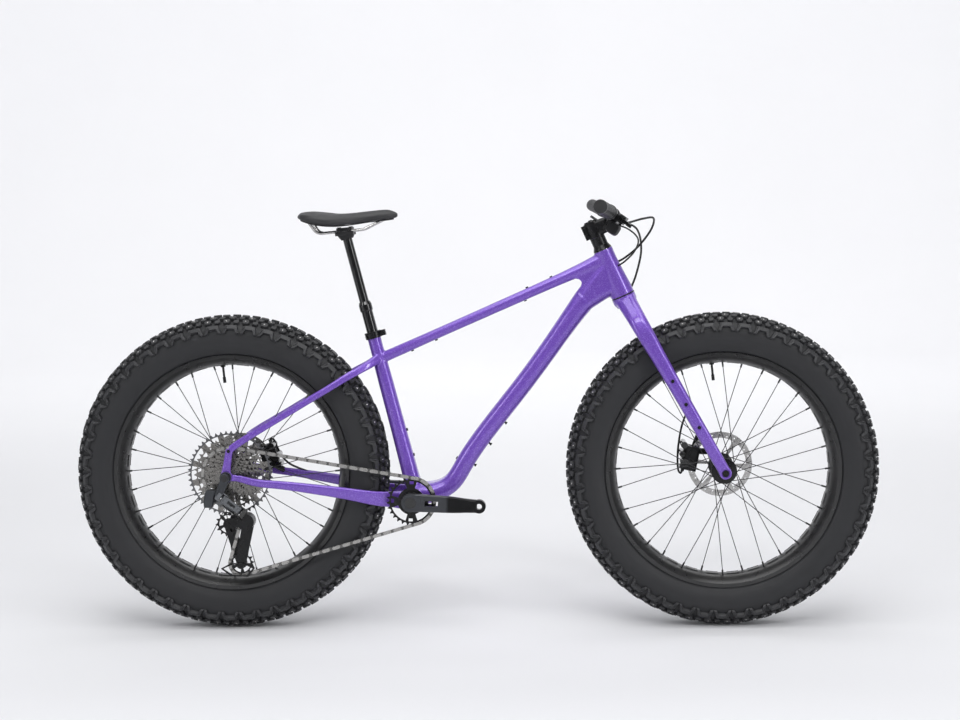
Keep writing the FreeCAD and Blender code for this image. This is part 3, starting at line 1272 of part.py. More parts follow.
def stem():
    front = block(on_steer(STEM_MIDDLE, STEM_FACE + 50), STEER_AHEAD, Y, STEER_UP, 100, 120, 120)
    body = stem_body().cut(front)
    slit = block(on_steer(STEM_MIDDLE, -STEM_CLAMP_RADIUS), STEER_AHEAD, Y, STEER_UP, 24, 2,
                 STEM_HEIGHT + 4)
    pieces = [body.cut(slit)]
    for shift in (-9, 9):
        middle = on_steer(STEM_MIDDLE + shift, -STEM_CLAMP_RADIUS - 3)
        pieces.append(fused([cylinder(middle - Y * 12, middle + Y * 9, 2.5),
                             cylinder(middle - Y * 14, middle - Y * 9, 4.3)]))
    return group(pieces)


def stem_faceplate():
    gap = 2.0
    back = block(on_steer(STEM_MIDDLE, STEM_FACE + gap - 50), STEER_AHEAD, Y, STEER_UP, 100, 120, 120)
    plate_body = stem_body().cut(back)
    pieces = [plate_body]
    for side in (-17, 17):
        for up in (-20.4, 20.4):
            ear = on_steer(STEM_MIDDLE + up, STEM_FACE, side)
            pieces.append(cylinder(ear - STEER_AHEAD * 10, ear + STEER_AHEAD * 9, 2.4))
            pieces.append(cylinder(ear + STEER_AHEAD * (gap + 0.5), ear + STEER_AHEAD * 9, 4.0))
    return group(pieces)


def bar_corner(side):
    return BAR_CENTRE + V(BAR_FORWARD, side * BAR_BEND_Y, BAR_RISE)


def bar_end(side):
    reach = BAR_HALF_WIDTH - BAR_BEND_Y
    back = reach * math.tan(math.radians(BAR_BACKSWEEP))
    up = reach * math.tan(math.radians(BAR_UPSWEEP))
    return bar_corner(side) + V(-back, side * reach, up)


INBOARD = (bar_corner(-1) - bar_end(-1)).normalize()
REACH = turned_up(-LEVER_TILT)
REACH = (REACH - INBOARD * REACH.dot(INBOARD)).normalize()
ABOVE = INBOARD.cross(REACH).normalize()
ABOVE = ABOVE if ABOVE.z > 0 else ABOVE * -1


def bar_at(from_end):
    """Point on the right half of the bar at a distance from its end."""
    return bar_end(-1) + INBOARD * from_end


def handlebar():
    points = [bar_end(-1), bar_corner(-1), BAR_CENTRE - Y * BAR_FLAT_HALF, BAR_CENTRE,
              BAR_CENTRE + Y * BAR_FLAT_HALF, bar_corner(1), bar_end(1)]
    half_1 = bent_tube(points[:4], BAR_RADIUS, 90)
    half_2 = bent_tube(points[:2:-1], BAR_RADIUS, 90)
    middle = turned([(-58, 0), (-58, BAR_RADIUS - 0.2), (-34, BAR_CLAMP_RADIUS), (34, BAR_CLAMP_RADIUS),
                     (58, BAR_RADIUS - 0.2), (58, 0)], BAR_CENTRE, Y)
    return fused([half_1, half_2, middle])


def right_grip():
    bore = BAR_RADIUS + SEATED_CLEARANCE
    profile = [(-3, 0), (-3, GRIP_RADIUS - 1), (-1, GRIP_RADIUS), (8, GRIP_RADIUS)]
    for count in range(8):
        start = 14 + 12 * count
        profile.extend([(start, GRIP_RADIUS), (start + 0.8, GRIP_RADIUS - 0.7),
                        (start + 4, GRIP_RADIUS - 0.7),
                        (start + 4.8, GRIP_RADIUS)])
    profile.extend([(GRIP_LENGTH - 14, GRIP_RADIUS), (GRIP_LENGTH - 12, GRIP_RADIUS + 1.5),
                    (GRIP_LENGTH, GRIP_RADIUS + 1.5), (GRIP_LENGTH, bore), (-SEATED_CLEARANCE, bore),
                    (-SEATED_CLEARANCE, 0)])
    return turned(profile, bar_end(-1), INBOARD)


def left_grip():
    return mirrored(right_grip())


LEVER_CLAMP = bar_at(LEVER_CLAMP_FROM_END)
LEVER_PIVOT = LEVER_CLAMP + REACH * 34 - INBOARD * 10
SHIFTER_CLAMP = bar_at(SHIFTER_FROM_END)
POD_CENTRE = SHIFTER_CLAMP + REACH * 19 - ABOVE * 27.5
POD_DEPTH = 30.0
BUTTON_TRAVEL = 2.0
REMOTE_PIVOT = SHIFTER_CLAMP + REACH * 8 - ABOVE * 30
HOSE_START = LEVER_CLAMP + REACH * 25 + INBOARD * 62
REMOTE_PORT = SHIFTER_CLAMP + REACH * 7 - ABOVE * 18 + INBOARD * 6
HOSE_GAP = 0.35


def right_brake_body():
    bore = cylinder(LEVER_CLAMP - INBOARD * 40, LEVER_CLAMP + INBOARD * 40, BAR_RADIUS + SEATED_CLEARANCE)
    clamp = cylinder(LEVER_CLAMP - INBOARD * 6, LEVER_CLAMP + INBOARD * 6, BAR_RADIUS + 4.5)
    arm = block(LEVER_CLAMP + REACH * 18, REACH, INBOARD, ABOVE, 18, 12, 13)
    tank = cylinder(LEVER_CLAMP + REACH * 27 + INBOARD * 2, LEVER_CLAMP + REACH * 25 + INBOARD * 55, 8.5)
    cap = cylinder(LEVER_CLAMP + REACH * 25 + INBOARD * 52, HOSE_START, 5)
    cover = block(LEVER_CLAMP + REACH * 27 + INBOARD * 26 + ABOVE * 6, REACH, INBOARD, ABOVE, 15, 38, 10)
    pieces = [clamp, arm, tank, cap, cover]
    for sign in (-1, 1):
        lug = between(LEVER_CLAMP + REACH * 30 + INBOARD * 4, LEVER_PIVOT, 0.5) + ABOVE * (sign * 6.9)
        pieces.append(block(lug, REACH, INBOARD, ABOVE, 15, 24, 3))
    pieces.append(cylinder(LEVER_PIVOT - ABOVE * 8.4, LEVER_PIVOT + ABOVE * 8.4, 2.0))
    return fused(pieces).cut(bore)


def left_brake_body():
    """Mirror of the right body, with the bracket of the seatpost lever beside it."""
    bracket = [ring(SHIFTER_CLAMP - INBOARD * 5, SHIFTER_CLAMP + INBOARD * 5, BAR_RADIUS + 4,
                    BAR_RADIUS + SEATED_CLEARANCE),
               block(SHIFTER_CLAMP + REACH * 7 - ABOVE * 18, REACH, INBOARD, ABOVE, 14, 12, 15),
               cylinder(REMOTE_PIVOT - ABOVE * 4, REMOTE_PIVOT + ABOVE * 8, 2.5)]
    bore = cylinder(SHIFTER_CLAMP - INBOARD * 40, SHIFTER_CLAMP + INBOARD * 40,
                    BAR_RADIUS + SEATED_CLEARANCE)
    return group([mirrored(right_brake_body()), mirrored(fused(bracket).cut(bore))])


LEVER_OUTLINE = ((-5, 3), (8, 21), (28, 29), (60, 31.5), (80, 34), (86, 40), (91, 37), (86, 27.5),
                 (60, 23.5),
                 (31, 20), (16, 11), (6, -4), (-3, -5))


def right_brake_lever():
    points = [LEVER_PIVOT - INBOARD * out + REACH * fore - ABOVE * 4 for out, fore in LEVER_OUTLINE]
    blade = prism(points, ABOVE * 8)
    boss = cylinder(LEVER_PIVOT - ABOVE * 5, LEVER_PIVOT + ABOVE * 5, 6)
    bore = cylinder(LEVER_PIVOT - ABOVE * 9, LEVER_PIVOT + ABOVE * 9, 2.0 + RUNNING_CLEARANCE)
    return fused([blade, boss]).cut(bore)


def left_brake_lever():
    return mirrored(right_brake_lever())


def button_centre(up):
    return POD_CENTRE - REACH * (POD_DEPTH / 2) + ABOVE * up


def shifter_pod():
    clamp = cylinder(SHIFTER_CLAMP - INBOARD * 5, SHIFTER_CLAMP + INBOARD * 5, BAR_RADIUS + 4)
    arm = block(between(SHIFTER_CLAMP, POD_CENTRE, 0.5), REACH, INBOARD, ABOVE, 14, 10, 20)
    case = loft([rounded_wire(POD_CENTRE - INBOARD * 17, REACH, ABOVE, POD_DEPTH - 4, 24, 0.3),
                 rounded_wire(POD_CENTRE, REACH, ABOVE, POD_DEPTH, 28, 0.3),
                 rounded_wire(POD_CENTRE + INBOARD * 17, REACH, ABOVE, POD_DEPTH - 4, 24, 0.3)])
    body = fused([clamp, arm, case])
    for up in (-7, 7):
        body = body.cut(block(button_centre(up), REACH, INBOARD, ABOVE, 12, 20 + 2 * SIDE_CLEARANCE,
                              11 + 2 * SIDE_CLEARANCE))
    return body.cut(cylinder(SHIFTER_CLAMP - INBOARD * 20, SHIFTER_CLAMP + INBOARD * 20,
                             BAR_RADIUS + SEATED_CLEARANCE))


def shift_button(up):
    depth = 9.0
    middle = button_centre(up) + REACH * (6 - BUTTON_TRAVEL - SIDE_CLEARANCE - depth / 2)
    return block(middle, REACH, INBOARD, ABOVE, depth, 20, 11)


def shift_button_up():
    return shift_button(7)


def shift_button_down():
    return shift_button(-7)


REMOTE_OUTLINE = ((-7, 6), (-7, -5), (4, -8), (30, -28), (42, -30), (44, -20), (32, -16), (10, 6))


def dropper_lever():
    points = [REMOTE_PIVOT - INBOARD * out + REACH * fore - ABOVE * 3.5 for out, fore in REMOTE_OUTLINE]
    blade = prism(points, ABOVE * 6)
    return mirrored(blade.cut(cylinder(REMOTE_PIVOT - ABOVE * 9, REMOTE_PIVOT + ABOVE * 9,
                                       2.5 + RUNNING_CLEARANCE)))


# Hoses
HOSE_RADIUS = 2.6
CABLE_RADIUS = 2.1


def head_port(along, side):
    return on_steer(along, HEAD_TUBE_UPPER_RADIUS * 0.72, side * HEAD_TUBE_UPPER_RADIUS * 0.66)


def frame_hoses():
    brake = bent_tube([HOSE_START + INBOARD * HOSE_GAP, HOSE_START + INBOARD * 45,
                       on_steer(190, 128, -78), on_steer(170, 138, 0),
                       on_steer(118, 92, 40), head_port(86, 1) + STEER_AHEAD * 6 + Y * 4,
                       head_port(80, 1) - STEER_AHEAD * 4],
                      HOSE_RADIUS, 60)
    remote = mirrored(Part.Vertex(REMOTE_PORT + INBOARD * HOSE_GAP)).Point
    toward = V(INBOARD.x, -INBOARD.y, INBOARD.z)
    cable = bent_tube([remote, remote + toward * 55, on_steer(150, 96, 58), on_steer(118, 78, -10),
                       on_steer(92, 40, -26),
                       head_port(72, -1) - STEER_AHEAD * 4], CABLE_RADIUS, 50)
    out, along = caliper_frame(REAR, REAR_CALIPER_ANGLE)
    union = V(REAR.x, REAR_ROTOR_Y + 12,
              REAR.z) + out * (ROTOR_RADIUS + 6) + along * (CALIPER_HALF_LENGTH + 8)
    tail = bent_tube([union, union + along * 14, union + along * 16 + X * 34, union + V(70, 0, -22),
                      REAR + V(176, 88, -26)], HOSE_RADIUS, 22)
    return group([brake, cable, tail])


def front_brake_hose():
    start = mirrored(Part.Vertex(HOSE_START - INBOARD * 2)).Point
    toward = V(INBOARD.x, -INBOARD.y, INBOARD.z)
    upper = bent_tube([start, start + toward * 45, on_steer(150, 106, 74), on_steer(70, 84, 30),
                       on_steer(8, 52, 14),
                       on_steer(-14, 20, 14)], HOSE_RADIUS, 60)
    out, along = caliper_frame(FRONT, FRONT_CALIPER_ANGLE)
    union = V(FRONT.x, FRONT_ROTOR_Y + 12,
              FRONT.z) + out * (ROTOR_RADIUS + 6) + along * (CALIPER_HALF_LENGTH + 8)
    leg = leg_point(LEG_LENGTH - 150, FRONT_HUB_HALF + 6) - LEG_AHEAD * 6
    lower = bent_tube([union, union + along * 16, leg - LEG_AHEAD * 26 - LEG_DOWN * 4, leg], HOSE_RADIUS,
                      18)
    return group([upper, lower])


# Saddle
def dropper_stanchion():
    low = SEAL_TOP - STANCHION_OVERLAP
    return cylinder(on_seat(low), on_seat(STANCHION_TOP), STANCHION_RADIUS)


RAIL_RUN = turned_up(RAIL_TILT)
RAIL_UP = turned_up(RAIL_TILT + 90)


def rail():
    def at(ahead, side, up):
        return SADDLE + RAIL_RUN * ahead + RAIL_UP * up + Y * side
    points = [at(-84, RAIL_SPREAD + 12, 32), at(-66, RAIL_SPREAD + 2, 0), at(-40, RAIL_SPREAD, 0),
              at(46, RAIL_SPREAD, 0),
              at(88, 10, 16), at(104, 8, 22)]
    return bent_tube(points, RAIL_RADIUS, 24)


def saddle_rails():
    left = rail()
    return group([left, mirrored(left)])


def saddle_clamp():
    half = RAIL_SPREAD + 6.5
    lower = block(SADDLE - RAIL_UP * 5.2, RAIL_RUN, Y, RAIL_UP, 44, 2 * half, 9.6)
    neck = loft([rounded_wire(on_seat(STANCHION_TOP + SEATED_CLEARANCE), Y, SEAT_AHEAD, 24, 30, 0.45),
                 rounded_wire(SADDLE - RAIL_UP * 6, Y, RAIL_RUN, 40, 44, 0.3)])
    upper = block(SADDLE + RAIL_UP * 4.6, RAIL_RUN, Y, RAIL_UP, 36, 2 * half, 8.4)
    body = fused([lower, neck])
    for side in (-1, 1):
        groove = cylinder(SADDLE - RAIL_RUN * 40 + Y * (side * RAIL_SPREAD),
                          SADDLE + RAIL_RUN * 40 + Y * (side * RAIL_SPREAD),
                          RAIL_RADIUS + SEATED_CLEARANCE)
        body = body.cut(groove)
        upper = upper.cut(groove)
    bolts = []
    for ahead in (-14, 14):
        foot = SADDLE + RAIL_RUN * ahead - RAIL_UP * 17
        head = SADDLE + RAIL_RUN * ahead + RAIL_UP * 8
        bolts.append(fused([cylinder(foot, head + RAIL_UP, 2.6),
                            cylinder(head, head + RAIL_UP * 2.6, 5)]))
    return group([body, upper] + bolts)


# Saddle stations: ahead of the clamp, half width share, crown, shoulder and hem heights
SADDLE_ROWS = ((-112, 0.42, 40, 37, 33.5), (-103, 0.72, 46.5, 40, 29), (-78, 0.96, 49, 37.5, 21),
               (-45, 1.0, 46.5, 33, 15.5),
               (-15, 0.84, 43.5, 32, 14.5), (20, 0.54, 45, 34, 18), (60, 0.35, 49, 38.5, 24),
               (98, 0.29, 52, 42.5, 28),
               (118, 0.22, 48, 41, 31), (127.5, 0.11, 42, 39, 35))


def saddle_point(ahead, side, up):
    return SADDLE + V(ahead, side, up)


def cover_wire(row):
    ahead, share, crown, shoulder, hem = row
    half = SADDLE_HALF_WIDTH * share
    sides = []
    for sign in (1, -1):
        sides.append((saddle_point(ahead, sign * half, shoulder),
                      saddle_point(ahead, sign * half * 1.02, (shoulder * 0.4 + hem * 0.6)),
                      saddle_point(ahead, sign * half * 0.93, hem)))
    top = saddle_point(ahead, 0, crown)
    return Part.Wire([Part.Arc(sides[1][0], top, sides[0][0]).toShape(), Part.Arc(*sides[0]).toShape(),
                      Part.LineSegment(sides[0][2], sides[1][2]).toShape(),
                      Part.Arc(sides[1][2], sides[1][1], sides[1][0]).toShape()])


def saddle_cover():
    return loft([cover_wire(row) for row in SADDLE_ROWS])


def saddle_shell():
    wires = []
    for ahead, share, crown, shoulder, hem in SADDLE_ROWS[1:-1]:
        half = SADDLE_HALF_WIDTH * share * 0.84
        middle = saddle_point(ahead, 0, hem - SHELL_THICKNESS / 2 - 0.15)
        wires.append(rounded_wire(middle, Y, Z, 2 * half, SHELL_THICKNESS, 0.3))
    return loft(wires)


def build():
    """Every node's name and shape."""
    return {
        "frame": frame, "frame_bolts": frame_bolts, "seat_collar": seat_collar,
        "dropper_outer_tube": dropper_outer_tube, "headset_bearings": headset_bearings,
        "bottom_bracket_cups": bottom_bracket_cups, "rear_thru_axle": rear_thru_axle,
        "rear_caliper": rear_caliper,
        "frame_hoses": frame_hoses, "chain": chain, "derailleur_base": derailleur_base,
        "derailleur_outer_link": derailleur_outer_link, "derailleur_inner_link": derailleur_inner_link,
        "derailleur_knuckle": derailleur_knuckle, "derailleur_cage": derailleur_cage,
        "upper_jockey_wheel": upper_jockey_wheel, "lower_jockey_wheel": lower_jockey_wheel,
        "rear_pad_right": lambda: pad(REAR, REAR_CALIPER_ANGLE, REAR_ROTOR_Y, -1),
        "rear_pad_left": lambda: pad(REAR, REAR_CALIPER_ANGLE, REAR_ROTOR_Y, 1),
        "front_pad_right": lambda: pad(FRONT, FRONT_CALIPER_ANGLE, FRONT_ROTOR_Y, -1),
        "front_pad_left": lambda: pad(FRONT, FRONT_CALIPER_ANGLE, FRONT_ROTOR_Y, 1),
        "right_crank_arm": right_crank_arm, "left_crank_arm": left_crank_arm, "chainring": chainring,
        "cassette": cassette,
        "rear_tyre": lambda: tyre(REAR), "rear_rim": lambda: rim(REAR),
        "rear_spokes": lambda: spokes(REAR, *REAR_FLANGES), "rear_hub": rear_hub,
        "rear_rotor": lambda: rotor(REAR, REAR_ROTOR_Y), "rear_valve": lambda: valve(REAR),
        "front_tyre": lambda: tyre(FRONT), "front_rim": lambda: rim(FRONT),
        "front_spokes": lambda: spokes(FRONT, *FRONT_FLANGES), "front_hub": front_hub,
        "front_rotor": lambda: rotor(FRONT, FRONT_ROTOR_Y), "front_valve": lambda: valve(FRONT),
        "fork": fork, "headset_spacers": headset_spacers, "stem": stem, "stem_faceplate": stem_faceplate,
        "handlebar": handlebar, "left_grip": left_grip, "right_grip": right_grip,
        "left_brake_body": left_brake_body, "right_brake_body": right_brake_body,
        "shifter_pod": shifter_pod,
        "front_thru_axle": front_thru_axle, "front_caliper": front_caliper,
        "front_brake_hose": front_brake_hose,
        "left_brake_lever": left_brake_lever, "right_brake_lever": right_brake_lever,
        "dropper_lever": dropper_lever,
        "shift_button_up": shift_button_up, "shift_button_down": shift_button_down,
        "dropper_stanchion": dropper_stanchion, "saddle_clamp": saddle_clamp,
        "saddle_rails": saddle_rails,
        "saddle_shell": saddle_shell, "saddle_cover": saddle_cover,
    }


def main():
    os.makedirs("parts", exist_ok=True)
    for name, make in build().items():
        shape = make()
        solids = shape.Solids
        print(name, "solids", len(solids), "valid", shape.isValid(), "volume", round(shape.Volume))
        shape.exportStep("parts/" + name + ".step")


if __name__ == "__main__":
    main()
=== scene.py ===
"""Looks of a fat tire bike on a pale studio floor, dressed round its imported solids."""

import math

import bpy
from mathutils import Matrix, Vector


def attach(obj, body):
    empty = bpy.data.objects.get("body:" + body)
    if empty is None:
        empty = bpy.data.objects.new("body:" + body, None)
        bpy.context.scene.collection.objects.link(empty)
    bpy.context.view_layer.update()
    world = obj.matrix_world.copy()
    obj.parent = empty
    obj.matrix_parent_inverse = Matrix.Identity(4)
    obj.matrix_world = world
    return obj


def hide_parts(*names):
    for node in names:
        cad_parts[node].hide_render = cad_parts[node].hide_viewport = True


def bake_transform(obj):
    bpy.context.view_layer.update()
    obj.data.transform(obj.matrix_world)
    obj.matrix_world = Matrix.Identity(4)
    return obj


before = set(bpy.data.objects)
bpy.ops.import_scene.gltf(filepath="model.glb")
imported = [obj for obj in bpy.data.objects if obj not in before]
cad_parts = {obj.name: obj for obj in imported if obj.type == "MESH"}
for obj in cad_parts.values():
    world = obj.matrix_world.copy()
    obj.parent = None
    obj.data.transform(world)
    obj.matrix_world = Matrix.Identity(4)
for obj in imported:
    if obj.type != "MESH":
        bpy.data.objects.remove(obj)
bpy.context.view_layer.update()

bl_info = {
    "name": "Fat tire bike",
    "version": (1, 0, 0),
    "blender": (4, 5, 0),
    "location": "3D View > Sidebar > Fat bike",
    "description": "Dresses a fat tire bike and its studio",
    "category": "Object",
}

# Places on the bicycle, in metres
REAR = Vector((-0.597, 0.0, 0.382))
FRONT = Vector((0.597, 0.0, 0.382))
BB = Vector((-0.158, 0.0, 0.316))
CRANK_RUN = Vector((0.999, 0.0, -0.0454))
SADDLE = Vector((-0.319, 0.0, 0.9656))
CROWN = Vector((0.3567, 0.0, 0.8046))
STEER_UP = Vector((-0.4003, 0.0, 0.9164))
LOWER_JOCKEY = Vector((-0.5708, -0.064, 0.165))
COG_Y = -0.064
RING_Y = -0.074
# Accessory screws on a fork leg, as (x, z)
FORK_SCREWS = ((0.47038, 0.60470), (0.50201, 0.54907), (0.53364, 0.49343))


class PaintSettings(bpy.types.PropertyGroup):
    """Sparkle paint of the frame and fork."""

    colour: bpy.props.FloatVectorProperty(
        name="Paint", description="Colour under the clear coat", subtype="COLOR",
        size=4, min=0.0, max=1.0, default=(0.155, 0.062, 0.47, 1.0))
    pale: bpy.props.FloatVectorProperty(
        name="Flake", description="Colour of the bright flakes", subtype="COLOR",
        size=4, min=0.0, max=1.0, default=(0.46, 0.30, 0.85, 1.0))
    flake_size: bpy.props.FloatProperty(
        name="Flake size", description="Width of one flake", default=0.0009, min=0.0003, max=0.01,
        unit="LENGTH")
    blend: bpy.props.IntProperty(
        name="Blend", description="Rounds of smoothing where tubes meet", default=6, min=0, max=60)
    grain: bpy.props.FloatProperty(
        name="Skin grain", description="Spacing of the moulded skin's points", default=0.0017,
        min=0.001, max=0.01, unit="LENGTH")


class TyreSettings(bpy.types.PropertyGroup):
    """Tread of both tyres."""

    pitches: bpy.props.IntProperty(
        name="Pitches", description="Repeats of the tread round the tyre", default=50, min=20, max=90)
    radius: bpy.props.FloatProperty(
        name="Radius", description="Radius over the middle knobs", default=0.382, unit="LENGTH")
    knob: bpy.props.FloatProperty(
        name="Knob height", description="Height of the middle knobs", default=0.0085, unit="LENGTH")
    section: bpy.props.FloatProperty(
        name="Section radius", description="Radius of the tread across the tyre", default=0.0678,
        unit="LENGTH")


class StageSettings(bpy.types.PropertyGroup):
    """Camera and light."""

    distance: bpy.props.FloatProperty(
        name="Distance", description="From the camera to the middle plane", default=4.0332, unit="LENGTH")
    across: bpy.props.FloatProperty(
        name="Across", description="Camera ahead of the middle", default=0.1925, unit="LENGTH")
    height: bpy.props.FloatProperty(
        name="Height", description="Camera above the floor", default=1.0408, unit="LENGTH")
    lens: bpy.props.FloatProperty(
        name="Lens", description="Focal length in millimetres", default=62.143, min=10.0, max=300.0)
    key: bpy.props.FloatProperty(
        name="Key light", description="Power of the overhead light in watts", default=72.0, min=0.0)


# Materials
def link(tree, start, end):
    tree.links.new(start, end)


def new_node(tree, kind, **values):
    node = tree.nodes.new(kind)
    for key, value in values.items():
        setattr(node, key, value)
    return node


def mixed(tree, share, first, second):
    """Colour mix of two fixed colours by a texture."""
    mix = new_node(tree, "ShaderNodeMix", data_type="RGBA")
    mix.inputs[6].default_value = first
    mix.inputs[7].default_value = second
    link(tree, share, mix.inputs[0])
    return mix.outputs[2]


def ranged(tree, value, low, high, start=0.3, end=0.7):
    node = new_node(tree, "ShaderNodeMapRange")
    node.inputs[1].default_value = start
    node.inputs[2].default_value = end
    node.inputs[3].default_value = low
    node.inputs[4].default_value = high
    link(tree, value, node.inputs[0])
    return node.outputs[0]


def noise(tree, place, scale, detail=3.0):
    node = new_node(tree, "ShaderNodeTexNoise")
    node.inputs["Scale"].default_value = scale
    node.inputs["Detail"].default_value = detail
    link(tree, place, node.inputs["Vector"])
    return node.outputs["Fac"]


def started(name):
    material = bpy.data.materials.new(name)
    material.use_nodes = True
    tree = material.node_tree
    shader = tree.nodes["Principled BSDF"]
    place = new_node(tree, "ShaderNodeTexCoord").outputs["Object"]
    return material, tree, shader, place


def rounded_edges(tree, shader, radius, height=None, strength=0.0, depth=0.0003):
    """Soft edges, with a fine grain on top of them when a texture is given."""
    bevel = new_node(tree, "ShaderNodeBevel", samples=4)
    bevel.inputs["Radius"].default_value = radius
    normal = bevel.outputs["Normal"]
    if height is not None:
        bump = new_node(tree, "ShaderNodeBump")
        bump.inputs["Strength"].default_value = strength
        bump.inputs["Distance"].default_value = depth
        link(tree, height, bump.inputs["Height"])
        link(tree, normal, bump.inputs["Normal"])
        normal = bump.outputs["Normal"]
    link(tree, normal, shader.inputs["Normal"])


def surface(name, first, second, rough, metal=0.0, scale=60.0, edge=0.0006, grain=0.0, grain_scale=900.0,
            coat=0.0, specular=0.5):
    """Plain hard surface whose colour and gloss drift a little."""
    material, tree, shader, place = started(name)
    drift = noise(tree, place, scale)
    link(tree, mixed(tree, drift, (*first, 1.0), (*second, 1.0)), shader.inputs["Base Color"])
    link(tree, ranged(tree, drift, rough * 0.88, rough * 1.14), shader.inputs["Roughness"])
    shader.inputs["Metallic"].default_value = metal
    shader.inputs["Coat Weight"].default_value = coat
    shader.inputs["Coat Roughness"].default_value = 0.06
    shader.inputs["Specular IOR Level"].default_value = specular
    if edge:
        fine = noise(tree, place, grain_scale, 2.0) if grain else None
        rounded_edges(tree, shader, edge, fine, grain)
    return material


def paint(settings):
    """Sparkle paint: small flakes of a paler colour under a clear coat."""
    material, tree, shader, place = started("sparkle paint")
    flakes = new_node(tree, "ShaderNodeTexVoronoi")
    flakes.inputs["Scale"].default_value = 1.0 / settings.flake_size
    link(tree, place, flakes.inputs["Vector"])
    apart = new_node(tree, "ShaderNodeSeparateColor")
    link(tree, flakes.outputs["Color"], apart.inputs[0])
    bright = ranged(tree, apart.outputs[0], 0.0, 0.75, 0.82, 1.0)
    link(tree, mixed(tree, bright, tuple(settings.colour), tuple(settings.pale)),
         shader.inputs["Base Color"])
    link(tree, ranged(tree, apart.outputs[1], 0.30, 0.48, 0.0, 1.0), shader.inputs["Roughness"])
    shader.inputs["Metallic"].default_value = 0.32
    shader.inputs["Coat Weight"].default_value = 0.9
    shader.inputs["Coat Roughness"].default_value = 0.07
    bump = new_node(tree, "ShaderNodeBump")
    bump.inputs["Strength"].default_value = 0.10
    bump.inputs["Distance"].default_value = 0.0002
    link(tree, apart.outputs[2], bump.inputs["Height"])
    link(tree, bump.outputs["Normal"], shader.inputs["Normal"])
    return material


def two_tone(name, origin, run, reach, near, far, rough):
    """Grey that gives way to black along a crank arm."""
    material, tree, shader, place = started(name)
    dot = new_node(tree, "ShaderNodeVectorMath", operation="DOT_PRODUCT")
    move = new_node(tree, "ShaderNodeVectorMath", operation="SUBTRACT")
    move.inputs[1].default_value = origin
    link(tree, place, move.inputs[0])
    link(tree, move.outputs[0], dot.inputs[0])
    dot.inputs[1].default_value = run
    share = ranged(tree, dot.outputs["Value"], 0.0, 1.0, reach - 0.004, reach + 0.004)
    link(tree, mixed(tree, share, (*near, 1.0), (*far, 1.0)), shader.inputs["Base Color"])
    link(tree, ranged(tree, noise(tree, place, 80.0), rough * 0.9, rough * 1.15),
         shader.inputs["Roughness"])
    shader.inputs["Metallic"].default_value = 0.55
    rounded_edges(tree, shader, 0.0016)
    return material


def across_of(tree, place, axis):
    """One coordinate of a place."""
    apart = new_node(tree, "ShaderNodeSeparateXYZ")
    link(tree, place, apart.inputs[0])
    return apart.outputs[axis]


def maths(tree, operation, first, second=None, value=None):
    node = new_node(tree, "ShaderNodeMath", operation=operation)
    link(tree, first, node.inputs[0])
    if second is not None:
        link(tree, second, node.inputs[1])
    if value is not None:
        node.inputs[1].default_value = value
    return node.outputs[0]


def sprockets_painted_light():
    """Painted highlight on the side faces and painted shade on the teeth flanks, set by which way the
    surface faces, and a grey largest sprocket.
    """
    material, tree, shader, place = started("sprocket steel painted highlight and shade")
    # Painted highlight and shade: faces turned to the sides take the bright colour, the teeth flanks the
    # dark one.
    normal = new_node(tree, "ShaderNodeNewGeometry").outputs["Normal"]
    facing_light_share = maths(tree, "ABSOLUTE", across_of(tree, normal, 1))
    bright = mixed(tree, ranged(tree, facing_light_share, 0.0, 1.0, 0.5, 0.8), (0.010, 0.0097, 0.0094, 1.0),
                   (0.27, 0.26, 0.245, 1.0))
    move = new_node(tree, "ShaderNodeVectorMath", operation="SUBTRACT")
    move.inputs[1].default_value = REAR
    link(tree, place, move.inputs[0])
    flat = new_node(tree, "ShaderNodeVectorMath", operation="MULTIPLY")
    flat.inputs[1].default_value = (1.0, 0.0, 1.0)
    link(tree, move.outputs[0], flat.inputs[0])
    length = new_node(tree, "ShaderNodeVectorMath", operation="LENGTH")
    link(tree, flat.outputs[0], length.inputs[0])
    mix = new_node(tree, "ShaderNodeMix", data_type="RGBA")
    link(tree, ranged(tree, length.outputs["Value"], 0.0, 0.8, 0.0925, 0.0945), mix.inputs[0])
    link(tree, bright, mix.inputs[6])
    mix.inputs[7].default_value = (0.13, 0.135, 0.145, 1.0)
    link(tree, mix.outputs[2], shader.inputs["Base Color"])
    link(tree, ranged(tree, noise(tree, place, 300.0), 0.2, 0.34), shader.inputs["Roughness"])
    shader.inputs["Metallic"].default_value = 0.9
    rounded_edges(tree, shader, 0.0003)
    return material


def links():
    """Chain: bright outer plates, with painted shade on the recessed inner plates and rollers, on a line
    that slants in towards the cassette.
    """
    material, tree, shader, place = started("chain steel with painted shade")
    # Painted shade: all within 1.85 mm of the chain's middle line, the inner plates and rollers, takes the
    # darker colour.
    line = ranged(tree, across_of(tree, place, 0), COG_Y, RING_Y, REAR.x, BB.x)
    off = maths(tree, "ABSOLUTE", maths(tree, "SUBTRACT", across_of(tree, place, 1), line))
    outer = ranged(tree, off, 0.0, 1.0, 0.00182, 0.00188)
    link(tree, mixed(tree, outer, (0.16, 0.157, 0.15, 1.0), (0.42, 0.41, 0.395, 1.0)),
         shader.inputs["Base Color"])
    link(tree, ranged(tree, noise(tree, place, 400.0), 0.22, 0.36), shader.inputs["Roughness"])
    shader.inputs["Metallic"].default_value = 0.9
    rounded_edges(tree, shader, 0.0004)
    return material


